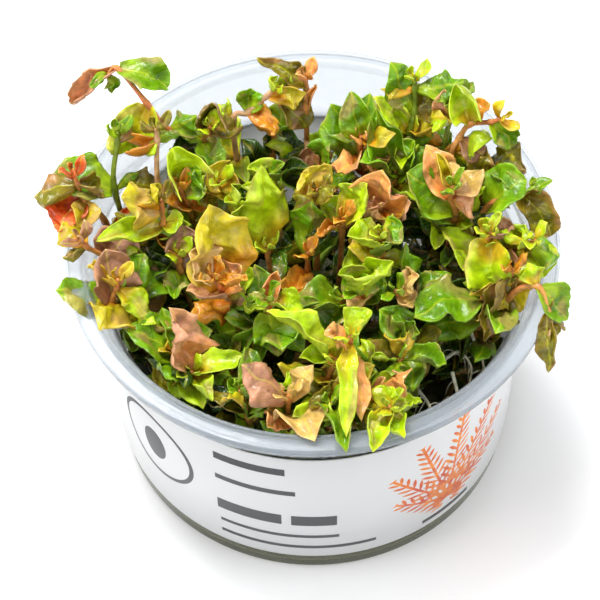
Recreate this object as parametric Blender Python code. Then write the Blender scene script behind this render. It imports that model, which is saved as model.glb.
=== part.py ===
"""Red-stemmed rotala shoots growing in a clear plastic cup of nutrient gel.

The cup, its printed sleeve and the gel are turned shapes. Every shoot is one grown piece:
a four-sided stem with pairs of leaves drawn out of its sides. The cup stands on z = 0 and
its axis is the Z axis. Lengths are in millimetres until a mesh is handed to its object.
"""

import math
from collections import namedtuple

import bmesh
import bpy
from mathutils import Quaternion, Vector
from mathutils.bvhtree import BVHTree

MM = 0.001
UP = Vector((0, 0, 1))

# The cup, outside sizes
RIM_RADIUS = 50.0
CUP_HEIGHT = 61.0
BASE_RADIUS = 42.0
WALL_TOP_RADIUS = 42.9
WALL = 0.8
SHOULDER_Z = 49.5
COLLAR_FOOT_RADIUS = 44.6
COLLAR_RADIUS = 46.1
LIP_DROP = 2.0
ROUND_STEPS = 36

# The sleeve round the wall, and the gel inside
SLEEVE_LOW = 5.3
SLEEVE_HIGH = 46.2
SLEEVE_THICK = 0.3
GEL_TOP = 11.0
GAP = 0.3

# The stems
STEM_SIDE = 1.7
JOINT_HALF = 1.1
FOOT_DRAW_IN = 0.8
BUD_LENGTH = 1.6
BUD_RISE = 0.3
ROOT_SIDE = 0.9
ROOT_TAPER = 0.12

# The leaves
LEAF_THICK = 0.7
LEAF_FOLD = 24
LEAF_REACH = 0.4
LEAF_SPREAD = 1.6
LEAF_FACES_IN = 0.35
LARGE_LEAF = 6.5
LARGE_STATIONS = (0.18, 0.5, 0.8)
SMALL_STATIONS = (0.25, 0.66)
LOW_STATIONS = (0.45,)
DARK = "D"
CLEARANCE = 0.35
SKIN_GAP = 0.12
SKIN_SHARE = 0.75

# How far a leaf may give way to a neighbour, nearest first: its width's share, its roll in
# degrees, and how far its tip moves up and sideways
WIDTH_SHARES = (1.0, 0.88, 0.76, 0.64, 0.5)
ROLLS = (0, 20, -20, 40, -40)
RISES = (0, 1.5, -1.5, 3, -3, 5)
SHIFTS = (0, 1.5, -1.5, 3, -3)

# The leaves low on the stems, which a rule places
LOW_SHARE = 0.55
LOW_REACH = 12.0
LOW_RISE = 3.0
LOW_WIDTH = 8.5
LOW_LIMIT = 38.0
GOLDEN_ANGLE = 2.4

# The space at the back of the cup where nothing grows, lowest and highest corner
FREE_LOW = Vector((-12, 30, 25))
FREE_HIGH = Vector((6, 39, 58))

# Colours of the leaves and stems, linear
TONES = {
    "L": (0.39, 0.60, 0.02),
    "G": (0.13, 0.33, 0.01),
    "D": (0.03, 0.10, 0.01),
    "Y": (0.70, 0.58, 0.03),
    "S": (0.80, 0.36, 0.20),
    "M": (0.48, 0.25, 0.19),
    "P": (0.75, 0.40, 0.33),
    "B": (0.20, 0.15, 0.02),
    "O": (0.63, 0.16, 0.02),
    "C": (0.68, 0.60, 0.28),
    "R": (0.75, 0.07, 0.01),
}

# A leaf's tip and width, its tone, and in degrees how steeply it rises from its joint, how
# steeply it drops at its tip, and how far it is rolled about its own length
Leaf = namedtuple("Leaf", "tip width tone lift droop roll", defaults=(30, 35, 0))


class Joint:
    """A place on a stem where up to two leaves grow, on opposite sides."""

    def __init__(self, place, *leaves):
        self.place = Vector(place)
        self.leaves = [leaf._replace(tip=Vector(leaf.tip)) for leaf in leaves]


Shoot = namedtuple("Shoot", "name joints")

# Where each shoot passes and where its leaves reach, read from the plant to a millimetre:
# x to the right, y to the back and z up. A shoot is named for its place or its look.
CROWNS = [
    Shoot("arch_left", [
        Joint((-21, 28, 60)),
        Joint((-25, 24, 67)),
        Joint((-29, 20, 71),
              Leaf((-23, 22, 73), 5, "G"),
              Leaf((-35, 18, 70), 4, "O")),
        Joint((-33, 22, 77),
              Leaf((-37, 17, 68), 8, "L", droop=60)),
        Joint((-39, 28, 81),
              Leaf((-49, 26, 72), 5.5, "M", lift=50, droop=25),
              Leaf((-29, 26, 77), 7.5, "G", lift=55, droop=65)),
    ]),
    Shoot("left_mast", [
        Joint((-40, 10, 64),
              Leaf((-53, 12, 66), 7.5, "G", lift=35, droop=40),
              Leaf((-35, 13, 66), 2, "G")),
        Joint((-39, 15, 73),
              Leaf((-36, 18, 76), 3.5, "B")),
    ]),
    Shoot("left_bud", [
        Joint((-42, 5, 60)),
        Joint((-46, 7, 65),
              Leaf((-52, 2, 63), 6.5, "R", lift=20, droop=60),
              Leaf((-46, 0, 64), 5, "Y")),
        Joint((-47, 8, 69),
              Leaf((-56, 7, 66), 6, "B", lift=35, droop=60),
              Leaf((-42, 8, 66), 4.5, "B")),
    ]),
    Shoot("left_low", [
        Joint((-41, -4, 58),
              Leaf((-37, 1, 64), 7, "M")),
        Joint((-45, -4, 64),
              Leaf((-50, 1, 66), 6, "Y"),
              Leaf((-50, -6, 63), 3, "B")),
    ]),
    Shoot("left_pink", [
        Joint((-38, -12, 53),
              Leaf((-42, -22, 61), 7, "Y", lift=50, droop=60),
              Leaf((-34, -18, 57), 4, "Y")),
        Joint((-40, -13, 57),
              Leaf((-41, -6, 66), 8.5, "M", lift=5, droop=15),
              Leaf((-51, -13, 62), 7, "G", lift=30, droop=30)),
        Joint((-39, -12, 61),
              Leaf((-31, -18, 57), 4.5, "L", lift=60, droop=10)),
    ]),
    Shoot("yellow_left", [
        Joint((-31, 3, 58),
              Leaf((-40, 5, 63), 6, "B"),
              Leaf((-27, -2, 58), 4, "O")),
        Joint((-30, 2, 63),
              Leaf((-43, -4, 66), 5, "L", lift=15, droop=30, roll=-25),
              Leaf((-26, 1, 65), 4, "L")),
        Joint((-30, 3, 67),
              Leaf((-38, 3, 71), 8.5, "Y", lift=30, droop=40),
              Leaf((-32, 4, 74), 5.5, "Y")),
    ]),
    Shoot("pink_stalk", [
        Joint((-31, 10, 64),
              Leaf((-37, 11, 66), 4, "B")),
        Joint((-31, 15, 74),
              Leaf((-34, 15, 70), 5.5, "O", lift=60, droop=60),
              Leaf((-29, 18, 73), 5, "G")),
    ]),
    Shoot("lime_cup", [
        Joint((-25, 8, 61),
              Leaf((-30, 7, 65), 5, "O"),
              Leaf((-21, 8, 64), 4, "O")),
        Joint((-26, 8, 65),
              Leaf((-28, 12, 75), 8.5, "L", lift=10, droop=55),
              Leaf((-22, 9, 72), 6, "G", lift=10, droop=30)),
    ]),
    Shoot("olive_back", [
        Joint((-22, 22, 62),
              Leaf((-29, 17, 68), 5, "D"),
              Leaf((-23, 13, 66), 4, "P")),
        Joint((-22, 21, 66),
              Leaf((-19, 12, 65), 5, "G", lift=50, droop=60),
              Leaf((-28, 22, 70), 4, "G")),
        Joint((-21, 20, 70),
              Leaf((-20, 22, 77), 7.5, "B", lift=0, droop=10),
              Leaf((-15, 22, 68), 6, "B")),
    ]),
    Shoot("orange_back", [
        Joint((-16, 24, 68),
              Leaf((-19, 25, 73), 6.5, "L")),
        Joint((-13, 25, 70),
              Leaf((-7, 22, 67), 4.5, "O", lift=30, droop=50),
              Leaf((-12, 28, 74), 4.5, "G")),
        Joint((-9, 26, 74),
              Leaf((-1, 26, 75), 4, "Y", lift=10, droop=10, roll=40)),
    ]),
    Shoot("dark_back", [
        Joint((-8, 23, 60),
              Leaf((-10, 23, 64), 4, "D")),
        Joint((-6, 27, 71),
              Leaf((-7, 23, 65), 5.5, "G", lift=50, droop=50),
              Leaf((-1, 24, 66), 5, "B", lift=50, droop=40)),
    ]),
    Shoot("olive_arch", [
        Joint((-1, 26, 68),
              Leaf((1, 29, 74), 2, "S"),
              Leaf((-3, 25, 65), 4, "B")),
        Joint((-1, 28, 74),
              Leaf((-11, 32, 79), 3.8, "B", lift=75, droop=10)),
    ]),
    Shoot("finger_back", [
        Joint((0, 19, 54),
              Leaf((-1, 22, 60), 3, "P"),
              Leaf((-6, 23, 57), 5, "D")),
        Joint((1, 18, 59),
              Leaf((4, 19, 68), 4, "G", lift=0, droop=70),
              Leaf((9, 14, 62), 4, "G")),
    ]),
    Shoot("big_back", [
        Joint((11, 18, 58),
              Leaf((5, 21, 62), 4, "S"),
              Leaf((15, 18, 65), 5, "G")),
        Joint((10, 19, 62),
              Leaf((4, 24, 74), 7.5, "G", lift=10, droop=10)),
        Joint((10, 19, 67),
              Leaf((8, 24, 78), 5, "G"),
              Leaf((12, 25, 76), 4, "G")),
    ]),
    Shoot("tall_back", [
        Joint((17, 15, 60),
              Leaf((13, 22, 75), 7.5, "G", lift=0, droop=15),
              Leaf((21, 19, 68), 7, "G")),
    ]),
    Shoot("right_crown", [
        Joint((20, 22, 65),
              Leaf((17, 26, 71), 5, "L"),
              Leaf((25, 23, 68), 4.5, "G")),
        Joint((21, 24, 71),
              Leaf((16, 29, 81), 5.5, "G", lift=10, droop=30),
              Leaf((26, 26, 75), 7, "B", lift=20, droop=30)),
        Joint((21, 26, 76),
              Leaf((14, 26, 76), 4.5, "Y", lift=40, droop=60),
              Leaf((31, 26, 78), 6, "G", lift=30, droop=30)),
    ]),
    Shoot("right_back", [
        Joint((27, 19, 64),
              Leaf((19, 21, 66), 4.5, "G")),
        Joint((28, 22, 70),
              Leaf((24, 24, 71), 5, "B"),
              Leaf((27, 25, 77), 4, "P")),
    ]),
    Shoot("orange_right", [
        Joint((28, 16, 65),
              Leaf((25, 13, 69), 3.5, "Y")),
        Joint((30, 18, 70),
              Leaf((35, 15, 67), 4.5, "M", lift=20, droop=50),
              Leaf((30, 16, 67), 4, "O")),
        Joint((32, 19, 73),
              Leaf((29, 23, 81), 8, "L", lift=0, droop=20),
              Leaf((36, 22, 76), 4, "O", lift=30, droop=60)),
        Joint((36, 18, 75),
              Leaf((40, 15, 70), 4.5, "G", lift=50, droop=40)),
    ]),
    Shoot("olive_fan", [
        Joint((35, 12, 62),
              Leaf((42, 16, 71), 7.5, "B", lift=10, droop=10),
              Leaf((35, 17, 69), 5, "B")),
    ]),
    Shoot("rose", [
        Joint((29, 7, 56),
              Leaf((22, 7, 58), 6, "G"),
              Leaf((34, 6, 60), 5, "L")),
        Joint((29, 6, 61),
              Leaf((19, 10, 69), 8, "G", lift=10, droop=40),
              Leaf((35, 8, 67), 4, "L")),
        Joint((28, 6, 65),
              Leaf((23, 14, 73), 5, "S", lift=5, droop=25),
              Leaf((33, 6, 69), 7, "P", lift=30, droop=50)),
        Joint((28, 5, 69),
              Leaf((25, 11, 74), 3.5, "Y"),
              Leaf((33, 9, 71), 6, "C", lift=30, droop=40)),
    ]),
    Shoot("right_droop", [
        Joint((35, 5, 63),
              Leaf((43, 7, 70), 8, "G", lift=30, droop=50),
              Leaf((32, 4, 60), 5, "D")),
        Joint((42, 5, 68),
              Leaf((48, -1, 62), 6, "B", lift=60, droop=30)),
    ]),
    Shoot("right_lime", [
        Joint((34, -3, 56),
              Leaf((30, -7, 59), 6, "L")),
        Joint((35, -4, 62),
              Leaf((43, -11, 63), 3.6, "P", lift=20, droop=20, roll=40),
              Leaf((39, -2, 66), 7, "L", lift=40, droop=60)),
        Joint((35, -5, 67),
              Leaf((36, -13, 60), 8.5, "L", lift=60, droop=30),
              Leaf((40, -4, 69), 4, "M")),
    ]),
    Shoot("right_crumple", [
        Joint((40, -4, 59),
              Leaf((38, -1, 66), 5, "L")),
        Joint((42, -5, 64),
              Leaf((46, -11, 62), 7, "L", lift=50, droop=40),
              Leaf((42, -4, 70), 5, "L")),
        Joint((43, -7, 68),
              Leaf((49, -8, 65), 7, "G", lift=25, droop=30)),
    ]),
    Shoot("right_hang", [
        Joint((38, -11, 58),
              Leaf((42, -14, 63), 4, "O"),
              Leaf((34, -9, 62), 5, "L")),
        Joint((39, -12, 64),
              Leaf((34, -21, 54), 5, "B", lift=60, droop=15),
              Leaf((40, -17, 58), 5.5, "Y", lift=60, droop=15)),
    ]),
    Shoot("right_tail", [
        Joint((39, -15, 61),
              Leaf((39, -18, 53), 4.5, "B")),
        Joint((44, -16, 66),
              Leaf((50, -20, 60), 5, "G", lift=50, droop=20),
              Leaf((42, -13, 70), 4, "L")),
        Joint((46, -20, 63),
              Leaf((46, -29, 55), 3, "B", lift=40, droop=10)),
    ]),
    Shoot("glossy_right", [
        Joint((34, -13, 50),
              Leaf((21, -17, 52), 5.5, "G", lift=20, droop=20)),
        Joint((34, -12, 56),
              Leaf((20, -17, 57), 7, "G", lift=35, droop=30),
              Leaf((32, -9, 61), 5, "G")),
    ]),
    Shoot("right_mid", [
        Joint((19, -9, 52),
              Leaf((28, -6, 56), 4, "G"),
              Leaf((19, -4, 57), 6, "D")),
        Joint((17, -12, 58),
              Leaf((21, -11, 63), 4.5, "C", lift=20, droop=20),
              Leaf((20, -15, 58), 4, "C", lift=30, droop=60)),
    ]),
    Shoot("right_front", [
        Joint((18, -20, 51),
              Leaf((13, -17, 60), 6, "G"),
              Leaf((21, -20, 56), 4.5, "G")),
        Joint((17, -26, 56),
              Leaf((26, -28, 57), 5, "G", lift=30, droop=20),
              Leaf((16, -26, 63), 4.5, "Y")),
    ]),
    Shoot("beige_front", [
        Joint((11, -35, 55),
              Leaf((19, -32, 62), 5, "S", lift=10, droop=10),
              Leaf((15, -41, 54), 4.5, "G")),
    ]),
    Shoot("star_front", [
        Joint((13, -39, 55),
              Leaf((21, -36, 56), 4, "L"),
              Leaf((17, -48, 62.6), 5, "L")),
        Joint((14, -41, 61),
              Leaf((11, -51, 62.6), 4.5, "L", lift=40, droop=20),
              Leaf((15, -38, 65), 5.5, "L", lift=10, droop=30)),
    ]),
    Shoot("ribbon_front", [
        Joint((7, -28, 58),
              Leaf((12, -28, 61), 5, "L"),
              Leaf((3, -31, 62), 5, "O")),
        Joint((7, -28, 63),
              Leaf((8, -44, 62), 5, "S", lift=50, droop=20),
              Leaf((2, -28, 68), 6, "S")),
        Joint((7, -29, 67),
              Leaf((6, -48, 62.8), 4.5, "L", lift=55, droop=10),
              Leaf((11, -23, 69), 5, "L")),
    ]),
    Shoot("rim_tongue", [
        Joint((3, -38, 57),
              Leaf((6, -51, 62.6), 4.5, "G", lift=50, droop=20),
              Leaf((2, -36, 62), 5.5, "B", lift=5, droop=10)),
    ]),
    Shoot("sash_front", [
        Joint((3, -30, 55),
              Leaf((-6, -34, 58), 6, "L", lift=20, droop=20),
              Leaf((1, -34, 60), 5, "Y")),
        Joint((4, -30, 60),
              Leaf((-9, -23, 69), 5.5, "L", lift=20, droop=20, roll=20)),
    ]),
    Shoot("mauve_front", [
        Joint((-5, -37, 52),
              Leaf((0, -48, 61.8), 7.5, "C", lift=40, droop=40),
              Leaf((-9, -42, 57), 5, "S")),
        Joint((-5, -37, 58),
              Leaf((-14, -32, 64), 7, "M", lift=20, droop=20),
              Leaf((0, -31, 62), 4.5, "C")),
    ]),
    Shoot("green_front", [
        Joint((-13, -34, 48),
              Leaf((-17, -29, 54), 6.5, "G"),
              Leaf((-4, -33, 53), 5.5, "G")),
        Joint((-14, -33, 53),
              Leaf((-21, -32, 50), 5, "D"),
              Leaf((-10, -32, 57), 4.5, "G")),
    ]),
    Shoot("pink_front", [
        Joint((-24, -25, 47),
              Leaf((-28, -28, 46), 4, "L"),
              Leaf((-19, -24, 51), 4.5, "B")),
        Joint((-24, -27, 52),
              Leaf((-28, -20, 66), 7.5, "P", lift=0, droop=20)),
    ]),
    Shoot("green_left", [
        Joint((-28, -22, 46),
              Leaf((-32, -26, 46), 4.5, "Y"),
              Leaf((-33, -21, 50), 5, "G")),
        Joint((-28, -22, 51),
              Leaf((-37, -20, 58), 8, "G", lift=35, droop=30),
              Leaf((-25, -18, 57), 5, "G")),
    ]),
    Shoot("hero", [
        Joint((-16, -10, 52),
              Leaf((-25, -16, 56), 6, "O"),
              Leaf((-11, -17, 55), 5, "D")),
        Joint((-17, -12, 57),
              Leaf((-25, -14, 63), 5.5, "P", lift=30, droop=30),
              Leaf((-12, -8, 62), 5, "L")),
        Joint((-18, -13, 61),
              Leaf((-20, -4, 78), 11, "Y", lift=0, droop=35),
              Leaf((-14, -11, 67), 6, "S", lift=5, droop=40)),
        Joint((-19, -14, 66),
              Leaf((-24, -12, 73), 7, "C")),
    ]),
    Shoot("dark_left", [
        Joint((-27, -2, 52),
              Leaf((-35, -1, 54), 7, "D"),
              Leaf((-28, -10, 54), 5, "G")),
        Joint((-27, -2, 56),
              Leaf((-33, 4, 58), 6, "D", lift=20, droop=20),
              Leaf((-26, 2, 63), 5, "M")),
    ]),
    Shoot("mauve_mid", [
        Joint((-17, -21, 47),
              Leaf((-24, -20, 49), 6, "B"),
              Leaf((-15, -17, 51), 6, "G", lift=20, droop=30)),
    ]),
    Shoot("banner", [
        Joint((-9, 0, 55),
              Leaf((-10, 7, 76), 8, "L", lift=0, droop=40),
              Leaf((-4, 1, 57), 5, "D")),
    ]),
    Shoot("curl_mid", [
        Joint((-15, 5, 60),
              Leaf((-19, 3, 58), 5, "D"),
              Leaf((-10, 5, 68), 6.5, "L", lift=40, droop=70)),
        Joint((-15, 5, 64),
              Leaf((-16, 6, 71), 6, "L", lift=0, droop=30)),
    ]),
    Shoot("yellow_back", [
        Joint((-20, 10, 62),
              Leaf((-23, 7, 63), 4, "L"),
              Leaf((-14, 7, 66), 6, "Y", lift=40, droop=50)),
        Joint((-19, 9, 66),
              Leaf((-21, 10, 71), 6, "Y", lift=10, droop=30)),
    ]),
    Shoot("curl_back", [
        Joint((-9, 13, 62),
              Leaf((-6, 13, 65), 4.5, "G", lift=70, droop=70),
              Leaf((-13, 12, 68), 5, "L")),
    ]),
    Shoot("mid_green", [
        Joint((-1, 0, 49),
              Leaf((-5, -9, 52), 5, "O"),
              Leaf((4, -4, 50), 5, "D")),
        Joint((-1, -1, 55),
              Leaf((0, 4, 68), 6, "G", lift=0, droop=20),
              Leaf((4, 1, 60), 4, "D")),
    ]),
    Shoot("mid_yellow", [
        Joint((1, 7, 63),
              Leaf((-4, 8, 64), 6.5, "B", lift=30, droop=60),
              Leaf((4, 7, 67), 3.5, "Y")),
        Joint((1, 6, 67),
              Leaf((-1, 9, 72), 6.5, "Y", lift=5, droop=50)),
    ]),
    Shoot("lime_mid", [
        Joint((6, 3, 59),
              Leaf((7, 7, 64), 5, "O"),
              Leaf((2, 7, 64), 5, "L")),
        Joint((6, 2, 63),
              Leaf((11, 6, 71), 6, "L", lift=0, droop=20)),
    ]),
    Shoot("salmon_mid", [
        Joint((15, 6, 58),
              Leaf((20, 7, 63), 5, "P"),
              Leaf((10, 5, 62), 4, "C")),
        Joint((14, 5, 63),
              Leaf((14, 7, 74), 8, "S", lift=0, droop=45),
              Leaf((18, 3, 64), 5.5, "O")),
    ]),
    Shoot("cup_mid", [
        Joint((14, -1, 53),
              Leaf((6, -5, 57), 6, "L", lift=20, droop=30),
              Leaf((18, -5, 57), 5.5, "L")),
        Joint((14, -2, 58),
              Leaf((7, -4, 63), 6, "Y", lift=20, droop=40),
              Leaf((17, -4, 64), 6, "G")),
        Joint((14, -2, 62),
              Leaf((7, -4, 67), 6.5, "L", lift=10, droop=20),
              Leaf((18, -2, 67), 5, "G")),
    ]),
    Shoot("ring_mid", [
        Joint((10, -10, 53),
              Leaf((15, -9, 57), 5, "G"),
              Leaf((8, -16, 57), 4.5, "C", lift=60, droop=60)),
        Joint((9, -12, 58),
              Leaf((5, -12, 65), 7, "L", lift=20, droop=50),
              Leaf((16, -9, 65), 6, "L", lift=20, droop=20)),
    ]),
    Shoot("olive_mid", [
        Joint((6, -10, 52),
              Leaf((-4, -15, 56), 7.5, "G", lift=30, droop=20),
              Leaf((3, -17, 52), 6, "G")),
    ]),
    Shoot("glossy_front", [
        Joint((-9, -14, 52),
              Leaf((-2, -21, 51), 6.5, "G"),
              Leaf((-14, -14, 58), 5, "L")),
        Joint((-9, -15, 57),
              Leaf((-7, -24, 54), 6.5, "G", lift=50, droop=20),
              Leaf((-7, -11, 65), 4.5, "S", lift=5, droop=10)),
        Joint((-9, -16, 61),
              Leaf((-2, -17, 60), 4.5, "L")),
    ]),
]


# The white roots that come down inside the wall at the right front
ROOTS = [
    [(31, -13, 50), (33, -16.5, 45), (34.5, -18.5, 41), (33, -20, 33)],
    [(26.5, -18.5, 44), (29.5, -17.5, 45), (32, -19.5, 42), (31, -22, 36)],
    [(28, -21, 43), (29, -24, 39), (28, -25, 33), (26, -25, 26)],
    [(21, -24, 41), (23, -26.5, 40), (24, -28, 36), (22.5, -29, 29)],
]


def clear_scene():
    """Removes every object that the scene starts with."""
    for item in list(bpy.data.objects):
        bpy.data.objects.remove(item, do_unlink=True)


def plain_material(name, colour, roughness, alpha=1.0):
    """A Principled material of one colour."""
    made = bpy.data.materials.new(name)
    made.use_nodes = True
    shader = made.node_tree.nodes["Principled BSDF"]
    shader.inputs["Base Color"].default_value = (*colour, 1)
    shader.inputs["Roughness"].default_value = roughness
    shader.inputs["Metallic"].default_value = 0.0
    shader.inputs["Alpha"].default_value = alpha
    made.diffuse_color = (*colour, alpha)
    return made


def add_object(name, shape, finish):
    """Turns a bmesh in millimetres into a named object in metres."""
    bmesh.ops.triangulate(shape, faces=shape.faces[:])
    bmesh.ops.recalc_face_normals(shape, faces=shape.faces[:])
    bmesh.ops.scale(shape, vec=(MM, MM, MM), verts=shape.verts[:])
    mesh = bpy.data.meshes.new(name)
    shape.to_mesh(mesh)
    shape.free()
    mesh.materials.append(finish)
    mesh.shade_smooth()
    mesh.set_sharp_from_angle(angle=math.radians(40))
    item = bpy.data.objects.new(name, mesh)
    bpy.context.collection.objects.link(item)
    return item


def turned(outline, closed):
    """A shape turned about the Z axis from an outline of radius and height."""
    shape = bmesh.new()
    points = [shape.verts.new((radius, 0, z)) for radius, z in outline]
    pairs = list(zip(points, points[1:]))
    if closed:
        pairs.append((points[-1], points[0]))
    edges = [shape.edges.new(pair) for pair in pairs]
    bmesh.ops.spin(
        shape,
        geom=points + edges,
        cent=(0, 0, 0),
        axis=(0, 0, 1),
        angle=math.tau,
        steps=ROUND_STEPS,
        use_merge=True,
    )
    bmesh.ops.remove_doubles(shape, verts=shape.verts[:], dist=0.01)
    return shape


def wall_radius(z):
    """The outer radius of the tapered wall at a height."""
    return BASE_RADIUS + (WALL_TOP_RADIUS - BASE_RADIUS) * z / SHOULDER_Z


def cup_outline():
    """The cup's section, up its outer side, over the rim and down inside."""
    lip = CUP_HEIGHT - LIP_DROP
    outer = [
        (0, 0),
        (BASE_RADIUS - 0.9, 0),
        (wall_radius(0.9), 0.9),
        (WALL_TOP_RADIUS, SHOULDER_Z),
        (COLLAR_FOOT_RADIUS, SHOULDER_Z + 0.9),
        (COLLAR_RADIUS, lip + 0.3),
        (RIM_RADIUS - 0.7, lip + 0.7),
        (RIM_RADIUS - 0.7, lip),
        (RIM_RADIUS, lip),
        (RIM_RADIUS, CUP_HEIGHT - 1.0),
        (RIM_RADIUS - 0.4, CUP_HEIGHT - 0.6),
    ]
    inner = [
        (COLLAR_RADIUS + 1.3, CUP_HEIGHT - 0.6),
        (COLLAR_RADIUS + 0.9, CUP_HEIGHT),
        (COLLAR_RADIUS, CUP_HEIGHT),
        (COLLAR_RADIUS - WALL, CUP_HEIGHT - 1.2),
        (COLLAR_FOOT_RADIUS - WALL, SHOULDER_Z + 1.7),
        (WALL_TOP_RADIUS - WALL, SHOULDER_Z + 0.6),
        (wall_radius(1.8) - WALL, 1.8),
        (BASE_RADIUS - 1.6, 1.0),
        (0, 1.0),
    ]
    return outer + inner


def sleeve_outline():
    """The printed sleeve's section, a closed band just outside the wall."""
    low = wall_radius(SLEEVE_LOW) + GAP
    high = wall_radius(SLEEVE_HIGH) + GAP
    return [
        (low, SLEEVE_LOW),
        (low + SLEEVE_THICK, SLEEVE_LOW),
        (high + SLEEVE_THICK, SLEEVE_HIGH),
        (high, SLEEVE_HIGH),
    ]


def gel_outline():
    """The gel's section: it fills the bottom of the cup up to its level."""
    floor = 1.0 + GAP
    return [
        (0, floor),
        (BASE_RADIUS - 2.2, floor),
        (wall_radius(2.5) - WALL - GAP, 2.5),
        (wall_radius(GEL_TOP) - WALL - GAP, GEL_TOP),
        (0, GEL_TOP),
    ]


def along_curve(start, pull_a, pull_b, end, t):
    """A point on a Bezier curve and its direction there."""
    s = 1 - t
    point = s**3 * start + 3 * s * s * t * pull_a + 3 * s * t * t * pull_b + t**3 * end
    slope = s * s * (pull_a - start) + 2 * s * t * (pull_b - pull_a) + t * t * (end - pull_b)
    return point, slope.normalized()


def leaf_breadth(t):
    """The share of a leaf's full width at a place from its base, 0, to its tip, 1."""
    return math.sin(math.pi * t**0.85) ** 0.85


def leaf_up(base, chord):
    """The side that a leaf's top faces: up, and a little to the middle of the cup."""
    inward = Vector((-base.x, -base.y, 0)) * (LEAF_FACES_IN / RIM_RADIUS)
    facing = UP + inward
    return (facing - chord * chord.dot(facing)).normalized()


def middle_of(corners):
    """The middle of a side's corners."""
    return sum(corners, Vector()) / len(corners)


def outward_of(corners):
    """The direction in which a side of a stem looks."""
    return (corners[1] - corners[0]).cross(corners[3] - corners[0]).normalized()


def leaf_section(leaf, seat, t, spare):
    """The right edge, top, left edge and underside of a leaf at one place along it.

    The seat is the side of the stem that the leaf grows from, and it first leaves that side
    squarely.
    """
    base = middle_of(seat)
    chord = leaf.tip - base
    length = chord.length
    chord.normalize()
    face = Quaternion(chord, math.radians(leaf.roll)) @ leaf_up(base, chord)
    lift = math.radians(leaf.lift)
    droop = math.radians(leaf.droop)
    reach = length * LEAF_REACH
    pull_a = base + reach * (math.cos(lift) * chord + math.sin(lift) * face)
    pull_a += outward_of(seat) * LEAF_SPREAD
    pull_b = leaf.tip - reach * (math.cos(droop) * chord - math.sin(droop) * face)
    middle, ahead = along_curve(base, pull_a, pull_b, leaf.tip, t)
    top = (face - ahead * ahead.dot(face)).normalized()
    side = top.cross(ahead)
    half = leaf.width / 2 * leaf_breadth(t) + spare
    fold = math.radians(LEAF_FOLD)
    raised = top * (half * math.sin(fold))
    thick = top * (LEAF_THICK / 2 + spare)
    out = side * (half * math.cos(fold))
    return [middle + out + raised, middle + thick, middle - out + raised, middle - thick]


def stations(leaf):
    """The places along a leaf where its solid has a section, few on a small or low leaf."""
    if leaf.tone == DARK:
        return LOW_STATIONS
    return SMALL_STATIONS if leaf.width < LARGE_LEAF else LARGE_STATIONS


def shell(sections, tip=None):
    """The points and triangles of a tube through four-cornered sections.

    A side between two sections is bent, so it has the triangles of both of its diagonals.
    """
    points = [corner for section in sections for corner in section]
    faces = [(0, 1, 2), (0, 2, 3)]
    for first in range(0, len(points) - 4, 4):
        for side in range(4):
            a, b = first + side, first + (side + 1) % 4
            c, d = b + 4, a + 4
            faces += [(a, b, c), (a, c, d), (a, b, d), (b, c, d)]
    last = len(points) - 4
    if tip is None:
        faces += [(last, last + 1, last + 2), (last, last + 2, last + 3)]
    else:
        points.append(tip)
        faces += [(last + k, last + (k + 1) % 4, len(points) - 1) for k in range(4)]
    return points, faces


def tree(points_and_faces):
    """A search tree of a closed surface, for finding where two of them meet."""
    points, faces = points_and_faces
    return BVHTree.FromPolygons([tuple(p) for p in points], faces)


def with_low_leaves(number, shoot):
    """The shoot with one more joint, half-way up its stem, and a pair of dark leaves there."""
    first = shoot.joints[0].place
    place = Vector((first.x * FOOT_DRAW_IN, first.y * FOOT_DRAW_IN, GEL_TOP)).lerp(first, LOW_SHARE)
    leaves = []
    for turn in (0, math.pi):
        angle = number * GOLDEN_ANGLE + turn
        tip = place + Vector((math.cos(angle) * LOW_REACH, math.sin(angle) * LOW_REACH, LOW_RISE))
        tip.xy *= min(1, LOW_LIMIT / tip.xy.length)
        leaves.append(Leaf(tip, LOW_WIDTH, DARK))
    return Shoot(shoot.name, [Joint(place, *leaves), *shoot.joints])


PLANTING = [with_low_leaves(number, shoot) for number, shoot in enumerate(CROWNS)]


def stem_rings(shoot):
    """The centre, direction, side and size of each ring of a stem: its foot, joints and bud."""
    first = shoot.joints[0].place
    foot = Vector((first.x, first.y, 0)) * FOOT_DRAW_IN + UP * (GEL_TOP + GAP)
    path = [foot] + [joint.place for joint in shoot.joints]
    heading = (path[-1] - path[-2]).normalized()
    path.append(path[-1] + (heading + UP * BUD_RISE).normalized() * (JOINT_HALF + BUD_LENGTH))
    rings = [(foot, UP, Vector((1, 0, 0)), STEM_SIDE)]
    for joint, below, above in zip(shoot.joints, path, path[2:]):
        ahead = (above - below).normalized()
        side = joint.leaves[0].tip - joint.place if joint.leaves else Vector((1, 0, 0))
        for offset in (-JOINT_HALF, JOINT_HALF):
            rings.append((joint.place + ahead * offset, ahead, side, STEM_SIDE))
    rings.append((path[-1], heading, side, STEM_SIDE / 3))
    return rings


def root_rings(points):
    """The centre, direction, side and size of each ring of a root, which tapers to its end."""
    path = [Vector(point) for point in points]
    rings = []
    for n, place in enumerate(path):
        ahead = path[min(n + 1, len(path) - 1)] - path[max(n - 1, 0)]
        size = ROOT_SIDE * (1 - n * ROOT_TAPER)
        rings.append((place, ahead.normalized(), Vector((0, 1, 0)), size))
    return rings


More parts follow.
